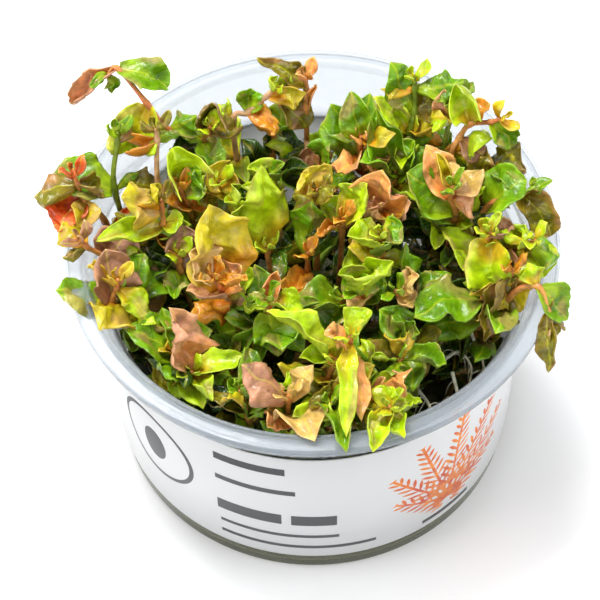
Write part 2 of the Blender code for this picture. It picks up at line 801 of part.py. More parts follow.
def ring_corners(centre, ahead, side, size, before):
    """The four corners of a stem's ring, one flat side square to side, in the order of before."""
    across = (side - ahead * ahead.dot(side)).normalized()
    if before is None:
        before = [Vector((1, 1, 0)), Vector((-1, 1, 0)), Vector((-1, -1, 0)), Vector((1, -1, 0))]
    half = size / 2
    beside = ahead.cross(across)
    corners = [(1, 1), (-1, 1), (-1, -1), (1, -1)]
    offsets = [across * (a * half) + beside * (b * half) for a, b in corners]
    turns = [offsets[k:] + offsets[:k] for k in range(4)]
    best = min(turns, key=lambda turn: sum((a - b).length for a, b in zip(turn, before)))
    return best, [centre + offset for offset in best]


def tube_sections(rings, spare=0.0):
    """The corners of every ring of a stem or root, in an order that keeps its sides straight."""
    sections = []
    before = None
    for centre, ahead, side, size in rings:
        before, corners = ring_corners(centre, ahead, side, size + 2 * spare, before)
        sections.append(corners)
    return sections


def seat_corners(sections, j, side):
    """The corners of one side of a stem between a joint's two rings."""
    low, high = sections[1 + 2 * j], sections[2 + 2 * j]
    after = (side + 1) % 4
    return [low[side], low[after], high[after], high[side]]


def stem_seats(shoot):
    """The side of the stem that each leaf grows from, by the numbers of its joint and leaf.

    A leaf takes the side that looks most towards its tip and that no leaf there has taken.
    """
    sections = tube_sections(stem_rings(shoot))
    seats = {}
    for j, joint in enumerate(shoot.joints):
        free = [0, 1, 2, 3]
        outs = [middle_of(seat_corners(sections, j, side)) - joint.place for side in free]
        for k, leaf in enumerate(joint.leaves):
            towards = leaf.tip - joint.place
            seats[j, k] = max(free, key=lambda side: outs[side].dot(towards))
            free.remove(seats[j, k])
    return seats


def matched(section, seat):
    """The section's corners, turned so that each follows its corner of the seat."""
    turns = [[section[(k + n) % 4] for n in range(4)] for k in range(4)]
    return min(turns, key=lambda turn: sum((a - b).length for a, b in zip(turn, seat)))


def leaf_shell(leaf, seat, spare):
    """A leaf's surface with room to spare, from the side of its stem, its seat, to its tip."""
    middle = middle_of(seat)
    root = [corner + (corner - middle).normalized() * spare for corner in seat]
    sections = [leaf_section(leaf, seat, t, spare) for t in stations(leaf)]
    return shell([root] + [matched(section, seat) for section in sections], leaf.tip)


def leaf_skin(leaf, seat):
    """A leaf's own surface, which starts just clear of its seat and within it."""
    middle = middle_of(seat)
    start = middle + outward_of(seat) * SKIN_GAP
    root = [start + (corner - middle) * SKIN_SHARE for corner in seat]
    sections = [leaf_section(leaf, seat, t, 0) for t in stations(leaf)]
    return shell([root] + [matched(section, seat) for section in sections], leaf.tip)


def leaf_poses(leaf, base):
    """The leaf as read, and then as it may lie where a neighbour is in its way."""
    chord = leaf.tip - base
    beside = chord.cross(UP)
    beside = beside.normalized() if beside.length > 0.1 else Vector((1, 0, 0))
    for share in WIDTH_SHARES:
        for roll in ROLLS:
            for rise in RISES:
                for shift in SHIFTS:
                    tip = leaf.tip + UP * rise + beside * shift
                    yield leaf._replace(tip=tip, width=leaf.width * share, roll=leaf.roll + roll)


def settle_leaves(fixed):
    """Finds a clear pose for each leaf, the low leaves last and the broad ones first.

    It keeps its distance from other shoots, and only may not cross its own.
    """
    stems = [tree(shell(tube_sections(stem_rings(shoot), CLEARANCE))) for shoot in PLANTING]
    sections = [tube_sections(stem_rings(shoot)) for shoot in PLANTING]
    sides = [stem_seats(shoot) for shoot in PLANTING]
    order = []
    for s, shoot in enumerate(PLANTING):
        for j, joint in enumerate(shoot.joints):
            for k, leaf in enumerate(joint.leaves):
                order.append((j == 0, -leaf.width, s, j, k))
    taken = []
    settled = {}
    for _, _, s, j, k in sorted(order):
        own_stem = tree(shell(sections[s]))
        seat = seat_corners(sections[s], j, sides[s][j, k])
        for pose in leaf_poses(PLANTING[s].joints[j].leaves[k], middle_of(seat)):
            skin = tree(leaf_skin(pose, seat))
            if skin.overlap(own_stem):
                continue
            if any(n == s and skin.overlap(other) for n, other, _ in taken):
                continue
            whole = tree(leaf_shell(pose, seat, CLEARANCE))
            others = [stem for n, stem in enumerate(stems) if n != s]
            others += [other for n, _, other in taken if n != s]
            if any(whole.overlap(other) for other in fixed + others):
                continue
            settled[s, j, k] = pose
            taken.append((s, skin, whole))
            break
    return settled


def draw_out(shape, face, points):
    """Extrudes one face and puts its corners at points, which follow the face's own order."""
    made = bmesh.ops.extrude_discrete_faces(shape, faces=[face])["faces"][0]
    for corner, point in zip(made.verts, points):
        corner.co = point
    return made


def grow_leaf(shape, face, leaf):
    """Draws a leaf out of one side of its stem, section by section, to a point."""
    seat = [corner.co.copy() for corner in face.verts]
    for t in stations(leaf):
        face = draw_out(shape, face, matched(leaf_section(leaf, seat, t, 0), seat))
    face = draw_out(shape, face, [leaf.tip] * 4)
    bmesh.ops.pointmerge(shape, verts=face.verts[:], merge_co=leaf.tip)


def grow_tube(rings):
    """Draws a tube out of a square, ring by ring, and closes its foot. Also returns its rings."""
    shape = bmesh.new()
    sections = tube_sections(rings)
    start = bmesh.ops.create_circle(shape, cap_ends=True, radius=1, segments=4)["verts"]
    face = start[0].link_faces[0]
    for corner, point in zip(face.verts, sections[0]):
        corner.co = point
    corners = [list(face.verts)]
    for section in sections[1:]:
        face = draw_out(shape, face, section)
        corners.append(list(face.verts))
    open_edges = [edge for edge in shape.edges if edge.is_boundary]
    bmesh.ops.holes_fill(shape, edges=open_edges, sides=4)
    bmesh.ops.recalc_face_normals(shape, faces=shape.faces[:])
    return shape, corners


def grow_shoot(number, settled):
    """One shoot: its stem, with the settled leaves drawn out of the stem's sides."""
    shoot = PLANTING[number]
    shape, rings = grow_tube(stem_rings(shoot))
    sides = stem_seats(shoot)
    for j, joint in enumerate(shoot.joints):
        for k in range(len(joint.leaves)):
            if (number, j, k) in settled:
                face = shape.faces.get(seat_corners(rings, j, sides[j, k]))
                grow_leaf(shape, face, settled[number, j, k])
    return shape


def build():
    """Makes the cup, its sleeve, the gel and every shoot."""
    clear_scene()
    cup = turned(cup_outline(), closed=False)
    sleeve = turned(sleeve_outline(), closed=True)
    gel = turned(gel_outline(), closed=False)
    fixed = [BVHTree.FromBMesh(cup), BVHTree.FromBMesh(sleeve), BVHTree.FromBMesh(gel)]
    box = bmesh.new()
    bmesh.ops.create_cube(box, size=1)
    bmesh.ops.scale(box, vec=FREE_HIGH - FREE_LOW, verts=box.verts[:])
    bmesh.ops.translate(box, vec=(FREE_HIGH + FREE_LOW) / 2, verts=box.verts[:])
    fixed.append(BVHTree.FromBMesh(box))
    box.free()
    fixed += [tree(shell(tube_sections(root_rings(points), CLEARANCE))) for points in ROOTS]
    settled = settle_leaves(fixed)
    add_object("cup", cup, plain_material("clear polypropylene", (0.85, 0.87, 0.88), 0.12, 0.35))
    add_object("label", sleeve, plain_material("printed label", (0.68, 0.70, 0.71), 0.4))
    add_object("gel", gel, plain_material("nutrient gel", (0.10, 0.11, 0.05), 0.2))
    root_white = plain_material("root", (0.75, 0.75, 0.66), 0.4)
    finishes = {tone: plain_material("leaf " + tone, TONES[tone], 0.35) for tone in TONES}
    for number, shoot in enumerate(PLANTING):
        shape = grow_shoot(number, settled)
        leaves = [leaf for joint in CROWNS[number].joints for leaf in joint.leaves]
        broadest = max(leaves, key=lambda leaf: leaf.width)
        add_object("shoot_" + shoot.name, shape, finishes[broadest.tone])
    for number, points in enumerate(ROOTS, 1):
        shape, _ = grow_tube(root_rings(points))
        add_object(f"root_{number}", shape, root_white)
    wanted = sum(len(joint.leaves) for shoot in PLANTING for joint in shoot.joints)
    print(f"{len(PLANTING)} shoots, {len(settled)} of {wanted} leaves placed")


build()
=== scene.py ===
# %% [markdown]
# A tuft of red-stemmed rotala in the clear cup that it was raised in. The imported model
# gives the cup, its printed sleeve, the gel, every shoot and the roots as plain solids.
# This lesson dresses each of them: thin wavy leaves, round stems, fine roots, a turned
# clear cup with a flat flange, and a sleeve printed with plain marks.

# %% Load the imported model
import math
import random
from collections import namedtuple

import bmesh
import bpy
from mathutils import Euler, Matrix, Quaternion, Vector, noise


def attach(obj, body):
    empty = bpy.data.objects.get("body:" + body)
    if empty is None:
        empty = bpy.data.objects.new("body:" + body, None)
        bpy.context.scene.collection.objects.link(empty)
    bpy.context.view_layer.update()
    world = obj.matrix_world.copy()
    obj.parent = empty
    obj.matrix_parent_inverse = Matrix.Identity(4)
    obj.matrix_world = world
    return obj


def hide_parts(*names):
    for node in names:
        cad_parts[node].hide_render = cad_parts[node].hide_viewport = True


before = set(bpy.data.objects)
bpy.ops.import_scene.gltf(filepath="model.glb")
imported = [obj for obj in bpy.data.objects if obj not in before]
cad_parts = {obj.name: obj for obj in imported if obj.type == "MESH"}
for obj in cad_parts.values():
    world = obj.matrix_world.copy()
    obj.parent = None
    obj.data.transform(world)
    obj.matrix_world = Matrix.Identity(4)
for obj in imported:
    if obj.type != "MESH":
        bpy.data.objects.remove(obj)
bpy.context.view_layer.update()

print(len(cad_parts), "nodes in the frame")

# %% [markdown]
# All lengths below are in millimetres, as the plant was read. A piece could be an object
# that is scaled and moved to its place. Here it is built in a bmesh and scaled to metres
# once, when it becomes an object. The object itself then stays at the origin, so Object
# coordinates are the plant's own coordinates in metres.

# %% Lengths and objects
MM = 0.001
UP = Vector((0, 0, 1))
# Points of a shape that are this near each other are made one.
MERGE_WITHIN = 0.001


def smooth_step(low, high, value):
    """0 below low, 1 above high and an eased change between them."""
    t = min(1.0, max(0.0, (value - low) / (high - low)))
    return t * t * (3 - 2 * t)


def finish_piece(name, shape, materials, node):
    """Makes an object of a bmesh in millimetres, in place of the CAD node that it dresses."""
    bmesh.ops.scale(shape, vec=(MM, MM, MM), verts=shape.verts[:])
    mesh = bpy.data.meshes.new(name)
    shape.to_mesh(mesh)
    shape.free()
    mesh.shade_smooth()
    for material in materials:
        mesh.materials.append(material)
    piece = bpy.data.objects.new(name, mesh)
    bpy.context.collection.objects.link(piece)
    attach(piece, "root")
    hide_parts(node)
    return piece


# %% [markdown]
# Materials are small node trees. Colours are written as sRGB hex values, as a colour
# picker shows them, and one function turns them into the linear light that Blender mixes.
# The trees could be wired by hand in the shader editor, but written down they can be read
# and changed. One function adds a node and sets its sockets to numbers, to other nodes'
# outputs, or to other nodes, of which it takes the first output.

# %% Colours and nodes
# A noise texture's values nearly all lie between these two.
NOISE_LOW = 0.3
NOISE_HIGH = 0.7


def linear(hex_colour):
    """The linear colour of an sRGB hex value such as #A8CC1C."""
    parts = [int(hex_colour[n:n + 2], 16) / 255 for n in (1, 3, 5)]
    light = [p / 12.92 if p <= 0.04045 else ((p + 0.055) / 1.055) ** 2.4 for p in parts]
    return (*light, 1.0)


def tone_of(hex_colour):
    """The same colour as a vector of three, for mixing with others."""
    return Vector(linear(hex_colour)[:3])


def add_node(tree, kind, sockets=None, **settings):
    """Adds a node with its settings, its sockets set to values or linked to outputs."""
    made = tree.nodes.new(kind)
    for name, value in settings.items():
        setattr(made, name, value)
    for socket, value in (sockets or {}).items():
        if isinstance(value, bpy.types.Node):
            value = value.outputs[0]
        if isinstance(value, bpy.types.NodeSocket):
            tree.links.new(value, made.inputs[socket])
        else:
            made.inputs[socket].default_value = value
    return made


def add_sum(tree, operation, *values):
    """Adds a node for one sum of numbers, outputs or nodes."""
    return add_node(tree, "ShaderNodeMath", dict(enumerate(values)), operation=operation)


def add_noise(tree, place, size, detail):
    """Adds a noise whose patches are about so many millimetres across."""
    return add_node(tree, "ShaderNodeTexNoise",
                    {"Vector": place, "Scale": 1 / (size * MM), "Detail": detail})


def add_range(tree, value, source, target):
    """Adds a node that stretches one range of values to another."""
    return add_node(tree, "ShaderNodeMapRange",
                    {"Value": value, "From Min": source[0], "From Max": source[1],
                     "To Min": target[0], "To Max": target[1]})


def add_mix(tree, share, one, other):
    """Adds a mix of two colours and gives its output."""
    return add_node(tree, "ShaderNodeMix", {0: share, 6: one, 7: other},
                    data_type="RGBA").outputs[2]


def add_ramp(tree, value, stops):
    """Adds a ramp of colours, each of which is reached at its own value."""
    made = add_node(tree, "ShaderNodeValToRGB", {"Fac": value})
    for stop, (place, colour) in zip(made.color_ramp.elements, stops):
        stop.position = place
        stop.color = linear(colour)
    return made


def start_material(name, **sockets):
    """A new Principled material, its tree and its shader, with the shader's own values set."""
    made = bpy.data.materials.new(name)
    made.use_nodes = True
    shader = made.node_tree.nodes["Principled BSDF"]
    for socket, value in sockets.items():
        shader.inputs[socket.replace("_", " ")].default_value = value
    return made, made.node_tree, shader


print("middle grey #808080 is", round(linear("#808080")[0], 3), "in linear light")

# %% [markdown]
# The camera stands where the photograph was taken: in front, looking down by 54.5 degrees
# from 484 mm, through a long lens. The picture's centre isn't the lens's centre, and that
# is what the two shifts are for. The camera is also rolled by about half a degree. It could
# be aimed by a constraint, but angles that are worked out keep it where it is in any scene.

# %% Camera
PHOTO_SIZE = 600
LENS_CENTRE = (312.5, 240.9)
SENSOR_WIDTH = 36
FOCAL_LENGTH = 144
LOOK_DOWN = math.radians(54.5)
ROLL = math.radians(0.57)
DISTANCE = 484 * MM
AIM = Vector((0, 0, 59.7 * MM))

looking = Vector((0, math.cos(LOOK_DOWN), -math.sin(LOOK_DOWN)))
lens = bpy.data.cameras.new("camera")
lens.sensor_width = SENSOR_WIDTH
lens.lens = FOCAL_LENGTH
lens.clip_start = 10 * MM
lens.shift_x = (PHOTO_SIZE / 2 - LENS_CENTRE[0]) / PHOTO_SIZE
lens.shift_y = (LENS_CENTRE[1] - PHOTO_SIZE / 2) / PHOTO_SIZE
camera = bpy.data.objects.new("camera", lens)
camera.location = AIM - looking * DISTANCE
upright = Euler((math.pi / 2 - LOOK_DOWN, 0, 0)).to_quaternion()
camera.rotation_euler = (Quaternion(looking, ROLL) @ upright).to_euler()
bpy.context.collection.objects.link(camera)
bpy.context.scene.camera = camera
print("camera at", [round(c, 3) for c in camera.location])

# %% [markdown]
# The light is that of a product photograph: a pale surround, a large soft lamp above and
# behind, one on each side, and a weaker one in front for the sleeve. A sky picture could
# light it too, but a few square lamps are easier to place and give clear highlights.

# %% Floor and lights
FLOOR_SIZE = 3.0
# The floor lies just under the part, so that the two faces don't flicker through each other.
FLOOR_DROP = 0.2 * MM
SURROUND_STRENGTH = 0.4
# Each lamp's name, its place and its size in metres, and its power in watts
AREA_LAMPS = [
    ("top_lamp", (-0.15, 0.2, 0.75), 0.3, 7.5),
    ("left_lamp", (-0.7, -0.15, 0.45), 0.5, 3.5),
    ("right_lamp", (0.7, -0.1, 0.45), 0.5, 3.0),
    ("front_lamp", (0.1, -0.8, 0.5), 0.5, 2.6),
]

for name, place, size, power in AREA_LAMPS:
    light = bpy.data.lights.new(name, "AREA")
    light.size = size
    light.energy = power
    lamp = bpy.data.objects.new(name, light)
    lamp.location = place
    lamp.rotation_euler = (AIM - Vector(place)).to_track_quat("-Z", "Y").to_euler()
    bpy.context.collection.objects.link(lamp)

surround = bpy.data.worlds.new("surround")
surround.use_nodes = True
backdrop = surround.node_tree.nodes["Background"].inputs
backdrop["Color"].default_value = linear("#F4F6F8")
backdrop["Strength"].default_value = SURROUND_STRENGTH
bpy.context.scene.world = surround
bpy.context.scene.view_settings.view_transform = "Standard"

floor_shape = bmesh.new()
bmesh.ops.create_grid(floor_shape, x_segments=2, y_segments=2, size=FLOOR_SIZE / 2)
bmesh.ops.translate(floor_shape, vec=(0, 0, -FLOOR_DROP), verts=floor_shape.verts[:])
floor_mesh = bpy.data.meshes.new("floor")
floor_shape.to_mesh(floor_mesh)
floor_shape.free()
floor = bpy.data.objects.new("floor", floor_mesh)
bpy.context.collection.objects.link(floor)
floor_paper, _, _ = start_material("matt paper", Base_Color=linear("#F6F6F6"), Roughness=0.8)
floor_mesh.materials.append(floor_paper)
print(len(AREA_LAMPS), "lamps and a floor")

# %% [markdown]
# The cup is clear polypropylene, thermoformed from a warm sheet: pressed into a mould, so
# that it is a little wavy where the sheet flowed. A clear wall could be plain glass to the
# renderer. But the real index of 1.49 on so many thin faces makes the rim darker than the
# real one, and glass holds back the light of the lamps. So the index is 1.3. Where no jelly
# wets the wall, its alpha also lets a part of the light straight through.

# %% The cup's finishes
CLEAR_IOR = 1.3
# The size of the sheet's waves, and how far they stand up
FLOW_SIZE = 9.0
FLOW_HEIGHT = 0.2
FLOW_STRENGTH = 0.15
Sheet = namedtuple("Sheet", "name colour milky alpha smoothest roughest")
# From the foot up. The jelly wets the wall, so its olive shows. Where the film clings to the
# wall, nothing shows of the wall but a slight shine. The flange wasn't stretched in the
# mould, so it is thicker and milkier.
SHEETS = [
    Sheet("clear polypropylene, wetted by the jelly", "#8E8F70", 0.2, 1.0, 0.08, 0.14),
    Sheet("clear polypropylene, under the film", "#D2D8DE", 0.2, 0.15, 0.1, 0.2),
    Sheet("clear polypropylene, thermoformed", "#B6BDC4", 0.2, 0.7, 0.08, 0.16),
    Sheet("clear polypropylene, unstretched", "#BAC2C9", 0.35, 0.72, 0.1, 0.2),
]


def sheet_material(sheet):
    """A formed sheet's material, with its faint waves and its uneven gloss."""
    made, tree, shader = start_material(
        sheet.name,
        Base_Color=linear(sheet.colour),
        IOR=CLEAR_IOR,
        Transmission_Weight=1 - sheet.milky,
        Alpha=sheet.alpha,
    )
    place = add_node(tree, "ShaderNodeTexCoord").outputs["Object"]
    flow = add_noise(tree, place, FLOW_SIZE, 2.0)
    gloss = add_range(tree, flow, (NOISE_LOW, NOISE_HIGH), (sheet.smoothest, sheet.roughest))
    waves = add_node(tree, "ShaderNodeBump", {"Height": flow, "Strength": FLOW_STRENGTH,
                     "Distance": FLOW_HEIGHT * MM})
    tree.links.new(gloss.outputs[0], shader.inputs["Roughness"])
    tree.links.new(waves.outputs["Normal"], shader.inputs["Normal"])
    return made


cup_finishes = [sheet_material(sheet) for sheet in SHEETS]
print(len(cup_finishes), "finishes for the cup")

# %% [markdown]
# The cup's shape is one outline turned about the axis, so it is drawn as a chain of points
# and spun. It could be pushed out of a cylinder, but an outline shows its real sizes at a
# glance. The rim is a flat flange with its edge turned down, and a small bead runs round
# its mouth.

# %% The cup
BASE_RADIUS = 42.0
WALL_TOP_RADIUS = 42.9
WALL = 0.8
SHOULDER_Z = 49.5
COLLAR_FOOT = 44.6
COLLAR_RADIUS = 46.1
RIM_RADIUS = 50.0
CUP_HEIGHT = 61.0
LIP_Z = 59.0
SLEEVE_LOW = 5.8
SLEEVE_HIGH = 46.2
GEL_TOP = 11.0
ROUND_STEPS = 144


def wall_radius(z):
    """The outer radius of the tapered wall at a height."""
    return BASE_RADIUS + (WALL_TOP_RADIUS - BASE_RADIUS) * z / SHOULDER_Z


def arc(centre, radius, start, end, steps):
    """Points of radius and height along an arc, its angles in degrees from the radial way."""
    points = []
    for n in range(steps + 1):
        angle = math.radians(start + (end - start) * n / steps)
        points.append((centre[0] + radius * math.cos(angle), centre[1] + radius * math.sin(angle)))
    return points


CUP_OUTLINE = [
    (0, 0.25),
    (34, 0.25),
    (36, 0),
    *arc((BASE_RADIUS - 0.7, 0.7), 0.7, -90, 0, 4),
    (wall_radius(5), 5),
    (wall_radius(20), 20),
    (wall_radius(SLEEVE_HIGH), SLEEVE_HIGH),
    (WALL_TOP_RADIUS, SHOULDER_Z),
    (WALL_TOP_RADIUS + 0.3, SHOULDER_Z + 0.5),
    *arc((COLLAR_FOOT - 0.5, SHOULDER_Z + 1.4), 0.5, -60, 0, 3),
    (COLLAR_RADIUS - 0.1, LIP_Z),
    *arc((COLLAR_RADIUS + 0.9, LIP_Z), 0.7, 170, 90, 3),
    (RIM_RADIUS - 0.9, LIP_Z + 0.7),
    (RIM_RADIUS - 0.6, LIP_Z),
    (RIM_RADIUS, LIP_Z),
    *arc((RIM_RADIUS - 0.7, CUP_HEIGHT - 1.3), 0.7, 0, 90, 5),
    (COLLAR_RADIUS + 1.5, CUP_HEIGHT - 0.6),
    *arc((COLLAR_RADIUS + 0.45, CUP_HEIGHT - 0.5), 0.5, 20, 170, 6),
    (COLLAR_RADIUS - WALL, CUP_HEIGHT - 1.6),
    (COLLAR_FOOT - WALL, SHOULDER_Z + 1.8),
    *arc((WALL_TOP_RADIUS - WALL + 0.7, SHOULDER_Z + 0.4), 0.7, 120, 180, 3),
    (wall_radius(SLEEVE_HIGH) - WALL, SLEEVE_HIGH),
    (wall_radius(20) - WALL, 20),
    (wall_radius(5) - WALL, 5),
    *arc((BASE_RADIUS - 2.6, 2.6), 1.7, 0, -90, 5),
    (34, 1.0),
    (0, 1.0),
]


def turned(outline, closed):
    """A shape turned about the Z axis from points of radius and height."""
    shape = bmesh.new()
    points = [shape.verts.new((radius, 0, z)) for radius, z in outline]
    pairs = list(zip(points, points[1:]))
    if closed:
        pairs.append((points[-1], points[0]))
    edges = [shape.edges.new(pair) for pair in pairs]
    bmesh.ops.spin(shape, geom=points + edges, cent=(0, 0, 0), axis=(0, 0, 1),
                   angle=math.tau, steps=ROUND_STEPS, use_merge=True)
    bmesh.ops.remove_doubles(shape, verts=shape.verts[:], dist=MERGE_WITHIN)
    bmesh.ops.recalc_face_normals(shape, faces=shape.faces[:])
    return shape


# The heights above which a face takes the next finish
FINISH_STARTS = (GEL_TOP / 2, SLEEVE_HIGH, LIP_Z)
cup_shape = turned(CUP_OUTLINE, False)
for face in cup_shape.faces:
    height = face.calc_center_median().z
    face.material_index = sum(height > start for start in FINISH_STARTS)
cup = finish_piece("cup_clear", cup_shape, cup_finishes, "cup")
print("cup:", len(cup.data.polygons), "faces")

# %% [markdown]
# The gel is a jelly of nutrients, set in the bottom of the cup. It is nearly clear, a
# little olive from the roots and the shed tissue in it, and wet on top. Its edge rises
# slightly where it wets the wall. A fully clear jelly would need a volume inside it. A
# cloudy colour on its surface looks the same through the tangle and is much faster. That
# colour is darker than the jelly's own olive, because it also holds painted shade from the
# tangle above.

# %% Gel
GEL_GAP = 0.3
CLOT_SIZE = 4.0
# Each colour's place among the noise's values. Both are darker than the jelly itself, as
# painted shade under the tangle.
CLOT_AND_SHADE_COLOURS = ((0.35, "#33361A"), (0.7, "#66694A"))
gel_jelly, gel_tree, gel_shader = start_material(
    "nutrient agar jelly", Roughness=0.18, IOR=1.34, Transmission_Weight=0.25)
gel_place = add_node(gel_tree, "ShaderNodeTexCoord").outputs["Object"]
gel_clots_and_shade = add_ramp(gel_tree, add_noise(gel_tree, gel_place, CLOT_SIZE, 3.0), CLOT_AND_SHADE_COLOURS)
gel_tree.links.new(gel_clots_and_shade.outputs["Color"], gel_shader.inputs["Base Color"])

GEL_OUTLINE = [
    (0, 1.3),
    (34, 1.3),
    (38.4, 1.6),
    (39.9, 2.6),
    (wall_radius(4) - WALL - GEL_GAP, 4),
    (wall_radius(GEL_TOP) - WALL - GEL_GAP, GEL_TOP),
    (wall_radius(GEL_TOP) - WALL - GEL_GAP - 0.8, GEL_TOP - 0.5),
    (36, GEL_TOP - 0.8),
    (0, GEL_TOP - 0.8),
]
gel = finish_piece("gel_layer", turned(GEL_OUTLINE, False), [gel_jelly], "gel")
print("gel:", len(gel.data.polygons), "faces")

# %% [markdown]
# The sleeve is a white polypropylene film, shrunk round the wall and printed. A print could
# be thin pieces laid on the film, but ink has no height. It is drawn in the material, by
# sums on millimetres round the cup and up it, and stays sharp from close by. The design is
# a plain one: a ring with a drop, grey bars, and orange sprigs that fan out of one foot. A
# bar is two comparisons. A sprig has one leaf, which a zigzag sum repeats along it.

# %% The sleeve's film and the place of its print
SLEEVE_GAP = 0.3
SLEEVE_THICK = 0.3
SLEEVE_RADIUS = 43.3

sleeve_film, film_tree, film_shader = start_material(
    "printed polypropylene film",
    Roughness=0.42,
    IOR=1.49,
    Transmission_Weight=0.3,
    Subsurface_Weight=0.3,
    Subsurface_Radius=(1.2 * MM, 1.2 * MM, 1.0 * MM),
    Subsurface_Scale=1.0,
)
film_place = add_node(film_tree, "ShaderNodeTexCoord").outputs["Object"]
film_parts = add_node(film_tree, "ShaderNodeSeparateXYZ", {0: film_place}).outputs
film_front = add_sum(film_tree, "MULTIPLY", film_parts["Y"], -1.0)
film_turn = add_sum(film_tree, "ARCTAN2", film_parts["X"], film_front)
film_arc = add_sum(film_tree, "MULTIPLY", film_turn, SLEEVE_RADIUS)
film_height = add_sum(film_tree, "MULTIPLY", film_parts["Z"], 1 / MM)
film_point = add_node(film_tree, "ShaderNodeCombineXYZ", {0: film_arc, 1: film_height})
print("the film is", round(math.tau * SLEEVE_RADIUS), "mm round")

# %% The shapes of the print
# The arc and the height of each bar's lowest and highest corner
BARS = [
    ((-21, 39.6), (-6, 42.2)),
    ((-21, 31.6), (-4, 33.4)),
    ((-21, 19.2), (-7, 23.2)),
    ((-5, 19.2), (4.5, 23.2)),
    ((-20.5, 13.9), (5, 15.1)),
    ((-20.5, 9.3), (13, 10.5)),
    ((24, 7.6), (37, 9.0)),
]
RING_CENTRE = (-37.5, 28)
RING_RADIUS = 10.5
RING_LINE = 0.55
DROP_SIZE = (3.4, 5.2)
# The foot of the sprigs, and each sprig's length and its turn from upright
SPRIG_FOOT = (30.5, 13.0)
SPRIGS = [(31, -5), (29, 16), (28, -26), (24, 37), (24, -47), (16, 58), (17, -68)]
SPRIG_PAIR = 2.6
SPRIG_SLANT = 1.1
SPRIG_REACH = 5.2
SPRIG_NARROWING = 0.65
SPRIG_LEAF = 2.6
SPRIG_STEM = 0.35


def film_sum(operation, *values):
    """One sum in the film's own tree."""
    return add_sum(film_tree, operation, *values)


def bar_mask(low, high):
    """1 inside a printed bar between two corners."""
    within = [film_sum("COMPARE", value, (start + end) / 2, (end - start) / 2)
              for value, start, end in zip((film_arc, film_height), low, high)]
    return film_sum("MULTIPLY", *within)


def oval_mask(centre, half_size):
    """1 inside a printed oval."""
    sockets = {"Vector": film_point, "Location": (*centre, 0), "Scale": (*half_size, 1)}
    local = add_node(film_tree, "ShaderNodeMapping", sockets, vector_type="TEXTURE")
    size = add_node(film_tree, "ShaderNodeVectorMath", {0: local}, operation="LENGTH")
    return film_sum("LESS_THAN", size.outputs["Value"], 1.0)


def ring_mask(centre, radius, line):
    """1 on a printed ring."""
    away = add_node(film_tree, "ShaderNodeVectorMath", {0: film_point, 1: (*centre, 0)},
                    operation="DISTANCE")
    return film_sum("COMPARE", away.outputs["Value"], radius, line)


def sprig_mask(length, turn):
    """1 on a sprig's stem and on its slanted leaves, which repeat in pairs along it."""
    sockets = {"Vector": film_point, "Location": (*SPRIG_FOOT, 0),
               "Rotation": (0, 0, math.radians(turn))}
    local = add_node(film_tree, "ShaderNodeMapping", sockets, vector_type="TEXTURE")
    parts = add_node(film_tree, "ShaderNodeSeparateXYZ", {0: local}).outputs
    along = parts["Y"]
    out = film_sum("ABSOLUTE", parts["X"])
    slanted = film_sum("MULTIPLY_ADD", out, -SPRIG_SLANT, along)
    gap = film_sum("PINGPONG", slanted, SPRIG_PAIR / 2)
    narrowing = -SPRIG_NARROWING * SPRIG_REACH / length
    share = film_sum("DIVIDE", out, film_sum("MULTIPLY_ADD", along, narrowing, SPRIG_REACH))
    bulge = film_sum("MULTIPLY", share, film_sum("SUBTRACT", 1.0, share))
    leaf = film_sum("LESS_THAN", gap, film_sum("MULTIPLY", bulge, SPRIG_LEAF))
    drawn = film_sum("MAXIMUM", leaf, film_sum("LESS_THAN", out, SPRIG_STEM))
    return film_sum("MULTIPLY", drawn, film_sum("COMPARE", along, length / 2, length / 2))


def either(masks):
    """1 where any of the masks is."""
    joined = masks[0]
    for mask in masks[1:]:
        joined = film_sum("MAXIMUM", joined, mask)
    return joined


ring = ring_mask(RING_CENTRE, RING_RADIUS, RING_LINE)
drop = oval_mask(RING_CENTRE, DROP_SIZE)
grey_mask = either([bar_mask(low, high) for low, high in BARS] + [ring, drop])
orange_mask = either([sprig_mask(*sprig) for sprig in SPRIGS])
print(len(BARS), "bars, a ring, a drop and", len(SPRIGS), "sprigs")

# %% The inks and the finished sleeve
# The orange ink varies over patches about this large.
INK_PATCH = 3.0
INK_COLOURS = ((0.35, "#D04000"), (0.65, "#F48C14"))
FILM_WHITE = "#E2E3E3"
PRINT_GREY = "#383A3D"
ink = add_ramp(film_tree, add_noise(film_tree, film_place, INK_PATCH, 2.0), INK_COLOURS)
with_grey = add_mix(film_tree, grey_mask, linear(FILM_WHITE), linear(PRINT_GREY))
with_ink = add_mix(film_tree, orange_mask, with_grey, ink)
film_tree.links.new(with_ink, film_shader.inputs["Base Color"])


def sleeve_outline():
    """The film's closed section, with its upper and lower edges eased."""
    low = wall_radius(SLEEVE_LOW) + SLEEVE_GAP
    high = wall_radius(SLEEVE_HIGH) + SLEEVE_GAP
    ease = SLEEVE_THICK / 3
    return [
        (low, SLEEVE_LOW),
        (low + SLEEVE_THICK - ease, SLEEVE_LOW),
        (low + SLEEVE_THICK, SLEEVE_LOW + ease),
        (high + SLEEVE_THICK, SLEEVE_HIGH - ease),
        (high + SLEEVE_THICK - ease, SLEEVE_HIGH),
        (high, SLEEVE_HIGH),
    ]


finish_piece("sleeve_film", turned(sleeve_outline(), True), [sleeve_film], "label")
print("sleeve:", len(film_tree.nodes), "nodes in its print")

# %% [markdown]
# Every shoot is described by where its joints are and where its leaves end, read from the
# plant to a millimetre: x to the right, y to the back and z up. A tuft could be scattered
# by a rule, but then it would be any tuft and not this one. A leaf also has its width, its
# tone, and in degrees how steeply it rises from its joint, how steeply it drops at its tip
# and how far it is rolled. These are the same places that the plain solids have.

# %% The planting
Leaf = namedtuple("Leaf", "tip width tone lift droop roll", defaults=(30, 35, 0))


